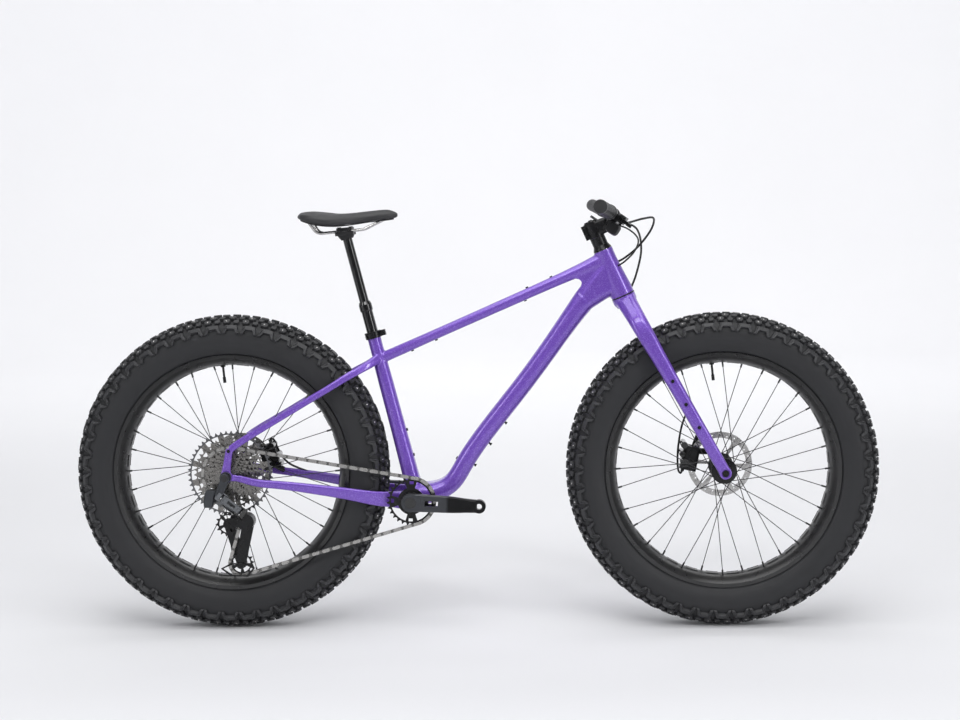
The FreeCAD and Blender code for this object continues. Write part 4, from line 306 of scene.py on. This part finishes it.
def palette(settings):
    """All the finishes, by the record's slot names and a few of their own."""
    made = {
        "frame_paint": paint(settings),
        "black_gloss": surface("gloss black", (0.003, 0.003, 0.0034), (0.006, 0.006, 0.0066), 0.14,
                               coat=0.5, edge=0.001),
        "black_metal": surface("satin black", (0.004, 0.004, 0.0045), (0.008, 0.008, 0.009), 0.28,
                               edge=0.0009, specular=0.35),
        "black_plastic": surface("matte black", (0.008, 0.008, 0.009), (0.015, 0.015, 0.017), 0.50,
                                 grain=0.15, specular=0.4),
        "rim": surface("rim black", (0.010, 0.010, 0.0105), (0.014, 0.0138, 0.0142), 0.30, edge=0.0,
                       specular=0.7),
        "spoke": surface("spoke black", (0.013, 0.013, 0.014), (0.03, 0.03, 0.03), 0.36, edge=0.0003),
        "grey_metal": surface("anodised grey", (0.046, 0.049, 0.055), (0.072, 0.076, 0.083), 0.30,
                              metal=0.7, edge=0.0012, grain=0.05),
        "steel": surface("steel", (0.50, 0.49, 0.48), (0.62, 0.61, 0.60), 0.27, metal=1.0, edge=0.0003,
                         scale=220.0),
        "cassette": sprockets_painted_light(),
        "chain": links(),
        "knob": surface("knob rubber", (0.021, 0.0214, 0.0236), (0.032, 0.0325, 0.0355), 0.52, grain=0.2,
                        grain_scale=700.0, edge=0.0014, scale=60.0),
        "window": surface("rim window dark", (0.003, 0.003, 0.003), (0.006, 0.006, 0.006), 0.7),
        "tyre_rubber": surface("tread rubber", (0.013, 0.0133, 0.0150), (0.021, 0.0214, 0.0238), 0.60,
                               grain=0.25, grain_scale=500.0, edge=0.0012, scale=24.0, specular=0.45),
        "rubber": surface("hose rubber", (0.004, 0.004, 0.0045), (0.008, 0.008, 0.0085), 0.42, grain=0.12,
                          edge=0.0006, specular=0.35),
        "grip": surface("grip rubber", (0.014, 0.014, 0.015), (0.024, 0.024, 0.025), 0.45, grain=0.12,
                        edge=0.0006),
        "saddle_skin": surface("saddle skin", (0.020, 0.020, 0.022), (0.030, 0.030, 0.032), 0.50,
                               grain=0.35, grain_scale=1100.0, edge=0.001),
        "pad_compound": surface("pad compound", (0.10, 0.09, 0.08), (0.16, 0.15, 0.13), 0.8, grain=0.3),
        "crank_right": two_tone("crank right", BB, CRANK_RUN, 0.088, (0.056, 0.059, 0.066),
                                (0.006, 0.006, 0.0068), 0.33),
        "crank_left": two_tone("crank left", BB, -CRANK_RUN, 0.088, (0.056, 0.059, 0.066),
                               (0.006, 0.006, 0.0068), 0.33),
    }
    return made


FINISH = {}


def finish_of(slot):
    if not FINISH:
        FINISH.update(palette(bpy.context.scene.fat_bike_paint))
    return FINISH[slot]


def dress(names, slot):
    """Gives CAD nodes a finish."""
    for name in names.split():
        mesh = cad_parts[name].data
        mesh.materials.clear()
        mesh.materials.append(finish_of(slot))


# Meshes
def placed(name, vertices, faces, finish, body, smooth=True):
    """New mesh piece riding on a body."""
    mesh = bpy.data.meshes.new(name)
    mesh.from_pydata([tuple(v) for v in vertices], [], faces)
    mesh.validate()
    mesh.materials.append(finish_of(finish))
    if smooth:
        mesh.polygons.foreach_set("use_smooth", [True] * len(mesh.polygons))
    piece = bpy.data.objects.new(name, mesh)
    bpy.context.scene.collection.objects.link(piece)
    if body:
        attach(piece, body)
    return piece


def rings_to_faces(count, width, first=0, closed=False, caps=True):
    """Quads between rings of the same number of points."""
    faces = []
    for ring in range(count if closed else count - 1):
        here = first + ring * width
        there = first + ((ring + 1) % count) * width
        for k in range(width):
            after = (k + 1) % width
            faces.append((here + k, here + after, there + after, there + k))
    if caps and not closed:
        faces.append(tuple(first + k for k in reversed(range(width))))
        faces.append(tuple(first + (count - 1) * width + k for k in range(width)))
    return faces


def eased(points, steps):
    """Smooth line through the given points."""
    ends = [points[0] * 2 - points[1], *points, points[-1] * 2 - points[-2]]
    line = []
    for i in range(1, len(ends) - 2):
        a, b, c, d = ends[i - 1:i + 3]
        for s in range(steps):
            t = s / steps
            line.append(0.5 * (2 * b + (c - a) * t + (2 * a - 5 * b + 4 * c - d) * t ** 2
                               + (3 * b - a - 3 * c + d) * t ** 3))
    return line + [points[-1]]


def tube(name, points, radius, finish, body, sides=12, steps=12):
    """Round hose along a smooth line."""
    line = eased([Vector(p) for p in points], steps)
    across = (line[1] - line[0]).orthogonal().normalized()
    vertices = []
    for i, point in enumerate(line):
        run = (line[min(i + 1, len(line) - 1)] - line[max(i - 1, 0)]).normalized()
        across = (across - run * across.dot(run)).normalized()
        other = run.cross(across)
        for k in range(sides):
            turn = 2 * math.pi * k / sides
            vertices.append(point + (across * math.cos(turn) + other * math.sin(turn)) * radius)
    return placed(name, vertices, rings_to_faces(len(line), sides), finish, body)


def rods(name, items, finish, body, sides=24):
    """Round studs, each from a start to an end with a radius, as one piece."""
    vertices, faces = [], []
    for start, end, radius in items:
        run = (Vector(end) - Vector(start)).normalized()
        across = run.orthogonal().normalized()
        other = run.cross(across)
        first = len(vertices)
        for point in (start, end):
            for k in range(sides):
                turn = 2 * math.pi * k / sides
                vertices.append(Vector(point) + (across * math.cos(turn) + other * math.sin(turn)) * radius)
        faces.extend(rings_to_faces(2, sides, first))
    return placed(name, vertices, faces, finish, body, smooth=False)


def band(name, outline, centre, width, near, far, finish, body):
    """Flat band that follows a closed outline (ahead, up), between two places across."""
    points = [Vector((x, 0.0, z)) for x, z in outline]
    middle = sum(points, Vector()) / len(points)
    vertices, faces = [], []
    for point in points:
        inner = point - (point - middle).normalized() * width
        for spot, y in ((point, near), (inner, near), (inner, far), (point, far)):
            vertices.append(Vector((centre.x + spot.x, y, centre.z + spot.z)))
    faces = rings_to_faces(len(points), 4, closed=True)
    return placed(name, vertices, faces, finish, body, smooth=False)


def crank_neck(name, side, finish):
    """Closes the waist between a crank arm and its round pedal eye."""
    rise = Vector((-CRANK_RUN.z, 0.0, CRANK_RUN.x))
    vertices = []
    for along, out, half in ((0.120, 0.0999, 0.0174), (0.140, 0.1019, 0.0163), (0.160, 0.1035, 0.0152)):
        middle = BB - CRANK_RUN * (side * along) + Vector((0.0, side * out, 0.0))
        corners = [(0.0072, half - 0.0032), (0.0040, half)]
        corners += [(-y, z) for y, z in reversed(corners)]
        corners += [(-y, -z) for y, z in corners]
        vertices += [middle + Vector((0.0, -side * y, 0.0)) + rise * z for y, z in corners]
    return placed(name, vertices, rings_to_faces(3, 8), finish, "crank", smooth=False)


def moulded(name, node, body, settings, keep):
    """Skin over a CAD node with its junctions blended, as on a moulded frame."""
    copy = bpy.data.objects.new(name + "_base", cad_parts[node].data.copy())
    bpy.context.scene.collection.objects.link(copy)
    remesh = copy.modifiers.new("skin", "REMESH")
    remesh.mode = "VOXEL"
    remesh.voxel_size = settings.grain * 1.0
    smooth = copy.modifiers.new("blend", "SMOOTH")
    smooth.factor = 0.5
    smooth.iterations = settings.blend
    thin = copy.modifiers.new("thin", "DECIMATE")
    thin.ratio = keep
    bpy.context.view_layer.update()
    depsgraph = bpy.context.evaluated_depsgraph_get()
    mesh = bpy.data.meshes.new_from_object(copy.evaluated_get(depsgraph))
    bpy.data.objects.remove(copy)
    mesh.name = name
    mesh.materials.clear()
    mesh.materials.append(finish_of("frame_paint"))
    mesh.polygons.foreach_set("use_smooth", [True] * len(mesh.polygons))
    piece = bpy.data.objects.new(name, mesh)
    bpy.context.scene.collection.objects.link(piece)
    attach(piece, body)
    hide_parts(node)
    return piece


# Tyre
def casing_profile(settings):
    """Tyre section from bead to bead as (y, radius)."""
    centre = settings.radius - settings.knob - settings.section
    points = []
    side = [(0.0375, 0.2815), (0.0385, 0.2872), (0.0412, 0.2888), (0.0436, 0.2895), (0.0446, 0.2920),
            (0.0485, 0.2985), (0.0520, 0.3065), (0.0543, 0.3160), (0.0551, 0.3255), (0.0547, 0.3345),
            (0.0536, 0.3425)]
    points.extend(side)
    half = math.asin(0.0532 / settings.section)
    for k in range(1, 16):
        lean = half * (1 - 2 * k / 16)
        points.append((settings.section * math.sin(lean), centre + settings.section * math.cos(lean)))
    points.extend((-y, r) for y, r in reversed(side))
    return points


# Knob outlines as (along the tread, across it) in millimetres
BLOCK = ((-9.5, -4.5), (-6.5, -6.8), (6.0, -6.2), (9.5, -3.0), (9.0, 4.5), (5.0, 6.8), (-7.0, 6.0))
WEDGE = ((-8.5, -5.0), (0.0, -7.5), (8.5, -5.5), (9.5, 2.0), (4.0, 6.5), (-6.5, 6.0))
SMALL = ((-7.0, -4.5), (5.5, -5.5), (7.5, 0.5), (4.0, 5.0), (-6.5, 4.5))
SHOULDER = ((-17.0, 3.0), (-16.0, -3.0), (-12.5, -5.5), (12.5, -5.5), (16.0, -3.0), (17.0, 3.0),
            (21.0, 15.0), (14.5, 15.0), (10.0, 5.5), (-10.0, 5.5), (-14.5, 15.0), (-21.0, 15.0))
# Rows: lean across the tread, place in the pitch, outline, height and side of the wheel
ROWS = (
    (6.5, 0.22, BLOCK, 8.5), (-6.5, 0.72, BLOCK, 8.5),
    (19.0, 0.60, WEDGE, 8.2), (-19.0, 0.10, WEDGE, 8.2), (19.5, 0.10, SMALL, 7.6),
    (-19.5, 0.60, SMALL, 7.6),
    (32.0, 0.34, WEDGE, 7.6), (-32.0, 0.84, WEDGE, 7.6), (33.0, 0.86, SMALL, 7.2),
    (-33.0, 0.36, SMALL, 7.2), (46.5, 0.62, SHOULDER, 6.4), (-46.5, 0.12, SHOULDER, 6.4),
)


def on_tread(settings, along, across, height, lean):
    """Point at an angle along the tread (metres), across it and above it, in the wheel's own place."""
    centre = settings.radius - settings.knob - settings.section
    turn = lean + across / settings.section
    reach = settings.section + height
    y = reach * math.sin(turn)
    r = centre + reach * math.cos(turn)
    angle = along / settings.radius
    return Vector((r * math.sin(angle), y, r * math.cos(angle)))


def add_knob(settings, vertices, faces, outline, lean, place, height):
    """Tapered knob with a chamfered top; the legs of a shoulder knob run down the sidewall."""
    sign = 1 if lean > 0 else -1
    width = len(outline)
    middle = (sum(x for x, _ in outline) / width, sum(y for _, y in outline) / width)
    first = len(vertices)
    for share, lift in ((1.13, -2.5), (1.0, height - 1.3), (0.88, height)):
        for x, y in outline:
            fall = max(0.0, (y - 5.0) / 10.0) if outline is SHOULDER else 0.0
            up = lift if lift < 0 else lift * (1 - 0.55 * fall)
            along = (middle[0] + (x - middle[0]) * share) * 0.001 + place
            across = sign * (middle[1] + (y - middle[1]) * share) * 0.001
            vertices.append(on_tread(settings, along, across, up * 0.001, math.radians(lean)))
    flip = sign < 0
    new = rings_to_faces(3, width, first,
                         caps=False) + [tuple(first + 2 * width + k for k in range(width))]
    faces.extend(tuple(reversed(f)) if not flip else f for f in new)


def add_stud(settings, vertices, faces, lean, place, height):
    first = len(vertices)
    for radius, lift in ((2.0, height - 0.4), (1.9, height + 0.5), (1.1, height + 1.0)):
        for k in range(8):
            turn = 2 * math.pi * k / 8
            vertices.append(on_tread(settings, place + radius * 0.001 * math.cos(turn),
                                     radius * 0.001 * math.sin(turn), lift * 0.001, math.radians(lean)))
    faces.extend(tuple(reversed(f)) for f in rings_to_faces(3, 8, first, caps=False))
    faces.append(tuple(first + 16 + k for k in reversed(range(8))))


def spun(points, turn, centre):
    """Points turned about the wheel's axle and set in place."""
    matrix = Matrix.Translation(centre) @ Matrix.Rotation(turn, 4, "Y")
    return [matrix @ p for p in points]


def tyre(name, node, body, centre, settings):
    profile = casing_profile(settings)
    around = 200
    vertices = []
    for k in range(around):
        angle = 2 * math.pi * k / around
        for y, r in profile:
            vertices.append(Vector((r * math.sin(angle), y, r * math.cos(angle))) + centre)
    width = len(profile)
    faces = []
    for k in range(around):
        here = k * width
        there = ((k + 1) % around) * width
        for i in range(width - 1):
            faces.append((here + i, here + i + 1, there + i + 1, there + i))
    pitch = 2 * math.pi * settings.radius / settings.pitches
    knobs, knob_faces, studs, stud_faces = [], [], [], []
    for lean, place, outline, height in ROWS:
        add_knob(settings, knobs, knob_faces, outline, lean, place * pitch, height)
        if outline is WEDGE:
            add_stud(settings, studs, stud_faces, lean, place * pitch, height)
    tread, tread_faces, pins, pin_faces = [], [], [], []
    for count in range(settings.pitches):
        turn = 2 * math.pi * count / settings.pitches
        base = len(tread)
        tread.extend(spun(knobs, turn, centre))
        tread_faces.extend(tuple(base + k for k in f) for f in knob_faces)
        base = len(pins)
        pins.extend(spun(studs, turn, centre))
        pin_faces.extend(tuple(base + k for k in f) for f in stud_faces)
    casing = placed(name + "_casing", vertices, faces, "tyre_rubber", body)
    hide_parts(node)
    placed(name + "_knobs", tread, tread_faces, "knob", body, smooth=False)
    placed(name + "_studs", pins, pin_faces, "steel", body, smooth=False)


def rim_windows(name, body, centre):
    """Dark sheets just inside the rim's inner surface, at its cut-outs between the spokes."""
    vertices, faces = [], []
    count = 32
    for k in range(count):
        middle = 2 * math.pi * (k + 0.5) / count
        first = len(vertices)
        for s in range(7):
            angle = middle + (s / 6 - 0.5) * 0.112
            for y in (-0.0125, 0.0125):
                r = 0.2584 + (y / 0.041) ** 2 * 0.0185 - 0.0013
                vertices.append(Vector((r * math.cos(angle), y, r * math.sin(angle))) + centre)
        for s in range(6):
            a = first + 2 * s
            faces.append((a, a + 1, a + 3, a + 2))
    return placed(name, vertices, faces, "window", body)


class FATBIKE_OT_frame(bpy.types.Operator):
    """Skin of the frame and fork, and the fittings fixed to them"""

    bl_idname = "fat_bike.frame"
    bl_label = "Frame and fork"

    def execute(self, context):
        settings = context.scene.fat_bike_paint
        moulded("frame_skin", "frame", "frame", settings, 0.32)
        moulded("fork_skin", "fork", "steering", settings, 0.32)
        dress("frame_bolts seat_collar bottom_bracket_cups rear_thru_axle front_thru_axle "
              "rear_caliper front_caliper"
              " headset_spacers", "black_metal")
        dress("headset_bearings", "steel")
        heads = [((x, side * 0.085, z), (x, side * 0.0962, z), 0.0042)
                 for side in (-1, 1) for x, z in FORK_SCREWS]
        rods("front_caliper_studs", [((0.508, 0.034, 0.432), (0.508, 0.088, 0.432), 0.0085),
                                     ((0.509, 0.034, 0.388), (0.509, 0.088, 0.388), 0.0105),
                                     ((0.503, 0.034, 0.410), (0.503, 0.088, 0.410), 0.0075)],
             "black_gloss", "steering")
        rods("rear_caliper_studs", [((-0.519, 0.058, 0.430), (-0.519, 0.110, 0.430), 0.0095),
                                    ((-0.507, 0.058, 0.405), (-0.507, 0.110, 0.405), 0.0105),
                                    ((-0.500, 0.058, 0.384), (-0.500, 0.110, 0.384), 0.0075)],
             "black_gloss", "frame")
        rods("fork_screws", heads, "black_metal", "steering")
        dress("rear_pad_right rear_pad_left front_pad_right front_pad_left", "pad_compound")
        return {"FINISHED"}


class FATBIKE_OT_wheels(bpy.types.Operator):
    """Tyres with their knobs, rims, spokes, hubs and rotors"""

    bl_idname = "fat_bike.wheels"
    bl_label = "Wheels"

    def execute(self, context):
        settings = context.scene.fat_bike_tyre
        tyre("rear_tyre_look", "rear_tyre", "rear_wheel", REAR, settings)
        tyre("front_tyre_look", "front_tyre", "front_wheel", FRONT, settings)
        rim_windows("rear_rim_windows", "rear_wheel", REAR)
        rim_windows("front_rim_windows", "front_wheel", FRONT)
        dress("rear_rim front_rim", "rim")
        dress("rear_spokes front_spokes", "spoke")
        dress("rear_hub front_hub rear_valve front_valve", "black_metal")
        dress("rear_rotor front_rotor", "steel")
        return {"FINISHED"}


class FATBIKE_OT_drive(bpy.types.Operator):
    """Crank, chain, cassette and derailleur"""

    bl_idname = "fat_bike.drive"
    bl_label = "Drive"

    def execute(self, context):
        dress("right_crank_arm", "crank_right")
        dress("left_crank_arm", "crank_left")
        dress("chainring derailleur_cage derailleur_knuckle", "black_metal")
        dress("derailleur_base derailleur_outer_link derailleur_inner_link", "grey_metal")
        crank_neck("crank_neck_right", -1, "crank_right")
        crank_neck("crank_neck_left", 1, "crank_left")
        # Painted shade: gloss-black discs standing for the bolt bores at the ends of the crank axle.
        caps = [((BB.x, side * 0.09, BB.z), (BB.x, side * 0.0996, BB.z), 0.0135) for side in (-1, 1)]
        rods("crank_bore_shade", caps, "black_gloss", "crank")
        rods("axle_collar", [((REAR.x, -0.12, REAR.z), (REAR.x, -0.1286, REAR.z), 0.0105)], "grey_metal",
             "frame")
        # Painted shade: a gloss-black disc standing for the hollow in the axle's end.
        rods("axle_socket_shade", [((REAR.x, -0.12, REAR.z), (REAR.x, -0.1290, REAR.z), 0.0078)], "black_gloss",
             "frame")
        guard = [(-0.048, -0.010), (-0.024, 0.003), (0.028, 0.003), (0.034, -0.010), (0.018, -0.030),
                 (-0.025, -0.028)]
        band("cage_guard", guard, LOWER_JOCKEY, 0.0055, -0.0765, -0.0735, "black_metal", "cage")
        dress("cassette", "cassette")
        dress("chain", "chain")
        dress("upper_jockey_wheel lower_jockey_wheel", "black_plastic")
        return {"FINISHED"}


class FATBIKE_OT_cockpit(bpy.types.Operator):
    """Handlebar, controls and hoses"""

    bl_idname = "fat_bike.cockpit"
    bl_label = "Cockpit"

    def execute(self, context):
        dress("stem stem_faceplate handlebar left_brake_body right_brake_body "
              "left_brake_lever right_brake_lever", "black_metal")
        dress("shifter_pod shift_button_up shift_button_down dropper_lever", "black_plastic")
        dress("left_grip right_grip", "grip")
        # Painted shade: a thin gloss-black disc drawn in the gap between the head tube and the fork crown.
        rods("crown_gap_shade", [(CROWN - STEER_UP * 0.0003, CROWN + STEER_UP * 0.0015, 0.0300)],
             "black_gloss", "steering",
             sides=64)
        hoses()
        return {"FINISHED"}


def hoses():
    """Brake hoses and the seatpost cable; those into the frame are left on no body, with their placing
    baked into the mesh.
    """
    port = (0.3405, 0.0158, 0.8849)
    brake = tube("rear_brake_hose", [
        (0.3519, -0.1889, 0.9884), (0.3640, -0.145, 0.9845), (0.4020, -0.092, 0.9930),
        (0.4290, -0.045, 0.9930),
        (0.4250, 0.000, 0.9640), (0.3950, 0.0230, 0.9230), (0.3620, 0.0210, 0.8960), port], 0.0026,
        "rubber", None)
    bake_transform(brake)
    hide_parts("frame_hoses")
    port = (0.3437, -0.0158, 0.8775)
    cable = tube("seatpost_cable", [
        (0.3234, 0.2052, 0.9855), (0.3335, 0.150, 0.9790), (0.3720, 0.085, 0.9660),
        (0.3950, 0.025, 0.9420),
        (0.3850, -0.0150, 0.9140), (0.3620, -0.0200, 0.8900), port], 0.0021, "rubber", None)
    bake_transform(cable)
    tube("rear_hose_tail", [
        (-0.5249, 0.094, 0.4430), (-0.5205, 0.0945, 0.4455), (-0.5140, 0.0950, 0.4390),
        (-0.5075, 0.0950, 0.4230),
        (-0.4960, 0.0945, 0.4010), (-0.4780, 0.0930, 0.3830), (-0.4540, 0.0912, 0.3715),
        (-0.4210, 0.0885, 0.3600)], 0.0026, "rubber", "frame")
    front = tube("front_brake_hose_upper", [
        (0.3519, 0.1893, 0.9884), (0.3640, 0.145, 0.9830), (0.3960, 0.090, 0.9640),
        (0.4040, 0.050, 0.9150),
        (0.3900, 0.0240, 0.8550), (0.3720, 0.0150, 0.8120), (0.3640, 0.0140, 0.7960)], 0.0026,
        "rubber", "steering")
    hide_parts("front_brake_hose")
    tube("front_brake_hose_lower", [
        (0.5048, 0.071, 0.3634), (0.5000, 0.0725, 0.3575), (0.4945, 0.075, 0.3700),
        (0.4950, 0.079, 0.4150),
        (0.5040, 0.0810, 0.4700), (0.5176, 0.0810, 0.5094)], 0.0026, "rubber", "steering")


# Saddle stations: ahead of the clamp, half width, crown, shoulder and hem heights, in millimetres
SADDLE_ROWS = (
    (-112, 27, 40, 37, 33), (-108, 40, 44, 39, 31), (-100, 54, 47, 40, 28), (-78, 68.2, 49, 37.5, 21),
    (-45, 71, 46.5, 33, 15.5), (-15, 59.6, 43.5, 32, 14.5), (20, 38.3, 45, 34, 18),
    (60, 24.9, 49, 38.5, 24),
    (98, 20.6, 52, 42.5, 28), (114, 17, 49.5, 41.5, 30), (124, 10.5, 45, 40, 33),
    (127.5, 4, 42, 39.5, 36))


def saddle_ring(row):
    """Closed section of the cover: crown with a shallow channel, full shoulders and a drawn-in hem."""
    ahead, half, crown, shoulder, hem = row
    channel = 2.2 * math.exp(-((ahead + 20) / 60.0) ** 2)
    top = []
    count = 20
    for k in range(count + 1):
        t = -1 + 2 * k / count
        rise = (1 - abs(t) ** 2.6) * (crown - shoulder)
        dip = channel * math.exp(-(t / 0.16) ** 2)
        top.append((t * half, shoulder + rise - dip))
    right = [(half * 1.015, shoulder * 0.62 + hem * 0.38), (half * 1.0, shoulder * 0.3 + hem * 0.7),
             (half * 0.95, hem)]
    under = [(half * share, hem + 0.6) for share in (0.6, 0.2, -0.2, -0.6)]
    ring = top + right + under + [(-y, z) for y, z in reversed(right)]
    return [SADDLE + Vector((ahead, y, z)) * 0.001 for y, z in ring]


class FATBIKE_OT_saddle(bpy.types.Operator):
    """Padded saddle on its rails and post"""

    bl_idname = "fat_bike.saddle"
    bl_label = "Saddle"

    def execute(self, context):
        lines = [saddle_ring(row) for row in SADDLE_ROWS]
        columns = [eased([ring[k] for ring in lines], 5) for k in range(len(lines[0]))]
        vertices = [column[i] for i in range(len(columns[0])) for column in columns]
        faces = rings_to_faces(len(columns[0]), len(columns))
        cover = placed("saddle_cover_look", vertices, [tuple(reversed(f)) for f in faces], "saddle_skin",
                       "seat")
        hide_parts("saddle_cover")
        dress("saddle_shell saddle_clamp", "black_plastic")
        dress("saddle_rails", "steel")
        dress("dropper_outer_tube dropper_stanchion", "black_gloss")
        return {"FINISHED"}


# Studio
def paper_with_painted_falloff(name, near, far, middle):
    """Paper with painted light fall-off: palest behind the bicycle and darker with distance from there."""
    material, tree, shader, place = started(name)
    falloff_distance = new_node(tree, "ShaderNodeVectorMath", operation="DISTANCE")
    falloff_distance.inputs[1].default_value = middle
    link(tree, place, falloff_distance.inputs[0])
    drift = ranged(tree, noise(tree, place, 0.8), -0.04, 0.04)
    # Painted light fall-off: the paper darkens from the near colour to the far one between 2 m and 9 m from
    # the palest point.
    share = maths(tree, "ADD", ranged(tree, falloff_distance.outputs["Value"], 0.04, 0.96, 2.0, 9.0), drift)
    link(tree, mixed(tree, share, (*near, 1.0), (*far, 1.0)), shader.inputs["Base Color"])
    shader.inputs["Roughness"].default_value = 0.9
    shader.inputs["Specular IOR Level"].default_value = 0.1
    return material


def cove():
    """Round floor that curves up into a wall on every side."""
    profile = [(0.0, 0.0), (2.5, 0.0), (5.0, 0.0)]
    for k in range(13):
        turn = math.radians(90 * k / 12)
        profile.append((7.0 + 2.5 * math.sin(turn), 2.5 - 2.5 * math.cos(turn)))
    profile.append((9.5, 9.0))
    vertices, faces = [], []
    count = 72
    for k in range(count):
        turn = 2 * math.pi * k / count
        for reach, z in profile[1:]:
            vertices.append((reach * math.cos(turn), reach * math.sin(turn), z))
    width = len(profile) - 1
    for k in range(count):
        here = k * width
        there = ((k + 1) % count) * width
        for i in range(width - 1):
            faces.append((here + i, here + i + 1, there + i + 1, there + i))
    faces.append(tuple(k * width for k in range(count)))
    mesh = bpy.data.meshes.new("studio_cove")
    mesh.from_pydata(vertices, [], faces)
    mesh.polygons.foreach_set("use_smooth", [True] * len(mesh.polygons))
    mesh.materials.append(paper_with_painted_falloff("studio paper with painted fall-off", (0.91, 0.91, 0.925), (0.74, 0.745, 0.765),
                                        (0.0, 7.5, 1.2)))
    floor = bpy.data.objects.new("studio_cove", mesh)
    floor.location.z = -0.0006
    bpy.context.scene.collection.objects.link(floor)


def area_light(name, place, target, size, height, power, colour=(1.0, 1.0, 1.0)):
    data = bpy.data.lights.new(name, "AREA")
    data.shape = "RECTANGLE"
    data.size = size
    data.size_y = height
    data.energy = power
    data.color = colour
    lamp = bpy.data.objects.new(name, data)
    bpy.context.scene.collection.objects.link(lamp)
    lamp.location = place
    lamp.rotation_euler = (Vector(target) - Vector(place)).to_track_quat("-Z", "Y").to_euler()
    return lamp


class FATBIKE_OT_stage(bpy.types.Operator):
    """Floor, light and camera"""

    bl_idname = "fat_bike.stage"
    bl_label = "Studio"

    def execute(self, context):
        settings = context.scene.fat_bike_stage
        scene = context.scene
        scene.view_settings.view_transform = "Standard"
        scene.view_settings.look = "None"
        cove()
        world = bpy.data.worlds.new("studio")
        scene.world = world
        world.use_nodes = True
        back = world.node_tree.nodes["Background"]
        back.inputs["Color"].default_value = (0.93, 0.94, 1.0, 1.0)
        back.inputs["Strength"].default_value = 0.10
        area_light("overhead", (0.0, -0.6, 3.4), (0.0, 0.0, 0.3), 3.6, 2.4, settings.key)
        area_light("front_fill", (0.1, -3.2, 3.6), (0.0, 0.0, 0.5), 3.2, 1.0, 64.0)
        area_light("ceiling", (0.0, 4.2, 5.6), (0.0, 7.6, 0.4), 13.0, 4.0, 415.0)
        area_light("front_strip", (3.2, -2.4, 1.5), (0.3, 0.0, 0.7), 0.45, 2.6, 42.0)
        area_light("rear_strip", (-3.2, -2.4, 1.5), (-0.4, 0.0, 0.6), 0.45, 2.6, 30.0)
        camera_data = bpy.data.cameras.new("camera")
        camera = bpy.data.objects.new("camera", camera_data)
        scene.collection.objects.link(camera)
        scene.camera = camera
        camera_data.lens = settings.lens
        camera_data.sensor_width = 36.0
        camera_data.shift_x = -0.06
        camera_data.shift_y = -0.10
        camera.location = (settings.across, -settings.distance, settings.height)
        aim = Vector((0.1491, 0.0, 0.8828))
        turned = (aim - camera.location).to_track_quat("-Z", "Y").to_matrix().to_4x4()
        camera.rotation_euler = (turned @ Matrix.Rotation(math.radians(-0.3669), 4, "Z")).to_euler()
        return {"FINISHED"}


class FATBIKE_PT_panel(bpy.types.Panel):
    """Sizes and buttons for the fat bike"""

    bl_idname = "FATBIKE_PT_panel"
    bl_label = "Fat bike"
    bl_space_type = "VIEW_3D"
    bl_region_type = "UI"
    bl_category = "Fat bike"

    def draw(self, context):
        column = self.layout.column()
        for group in (context.scene.fat_bike_paint, context.scene.fat_bike_tyre,
                      context.scene.fat_bike_stage):
            for key in group.__annotations__:
                column.prop(group, key)
        for step in STEPS:
            column.operator(step.bl_idname)


STEPS = (FATBIKE_OT_frame, FATBIKE_OT_wheels, FATBIKE_OT_drive, FATBIKE_OT_cockpit, FATBIKE_OT_saddle,
         FATBIKE_OT_stage)
CLASSES = (PaintSettings, TyreSettings, StageSettings, *STEPS, FATBIKE_PT_panel)


def register():
    for item in CLASSES:
        bpy.utils.register_class(item)
    bpy.types.Scene.fat_bike_paint = bpy.props.PointerProperty(type=PaintSettings)
    bpy.types.Scene.fat_bike_tyre = bpy.props.PointerProperty(type=TyreSettings)
    bpy.types.Scene.fat_bike_stage = bpy.props.PointerProperty(type=StageSettings)


def unregister():
    del bpy.types.Scene.fat_bike_stage
    del bpy.types.Scene.fat_bike_tyre
    del bpy.types.Scene.fat_bike_paint
    for item in reversed(CLASSES):
        bpy.utils.unregister_class(item)


def main():
    register()
    bpy.ops.fat_bike.frame()
    bpy.ops.fat_bike.wheels()
    bpy.ops.fat_bike.drive()
    bpy.ops.fat_bike.cockpit()
    bpy.ops.fat_bike.saddle()
    bpy.ops.fat_bike.stage()


if __name__ == "__main__":
    main()
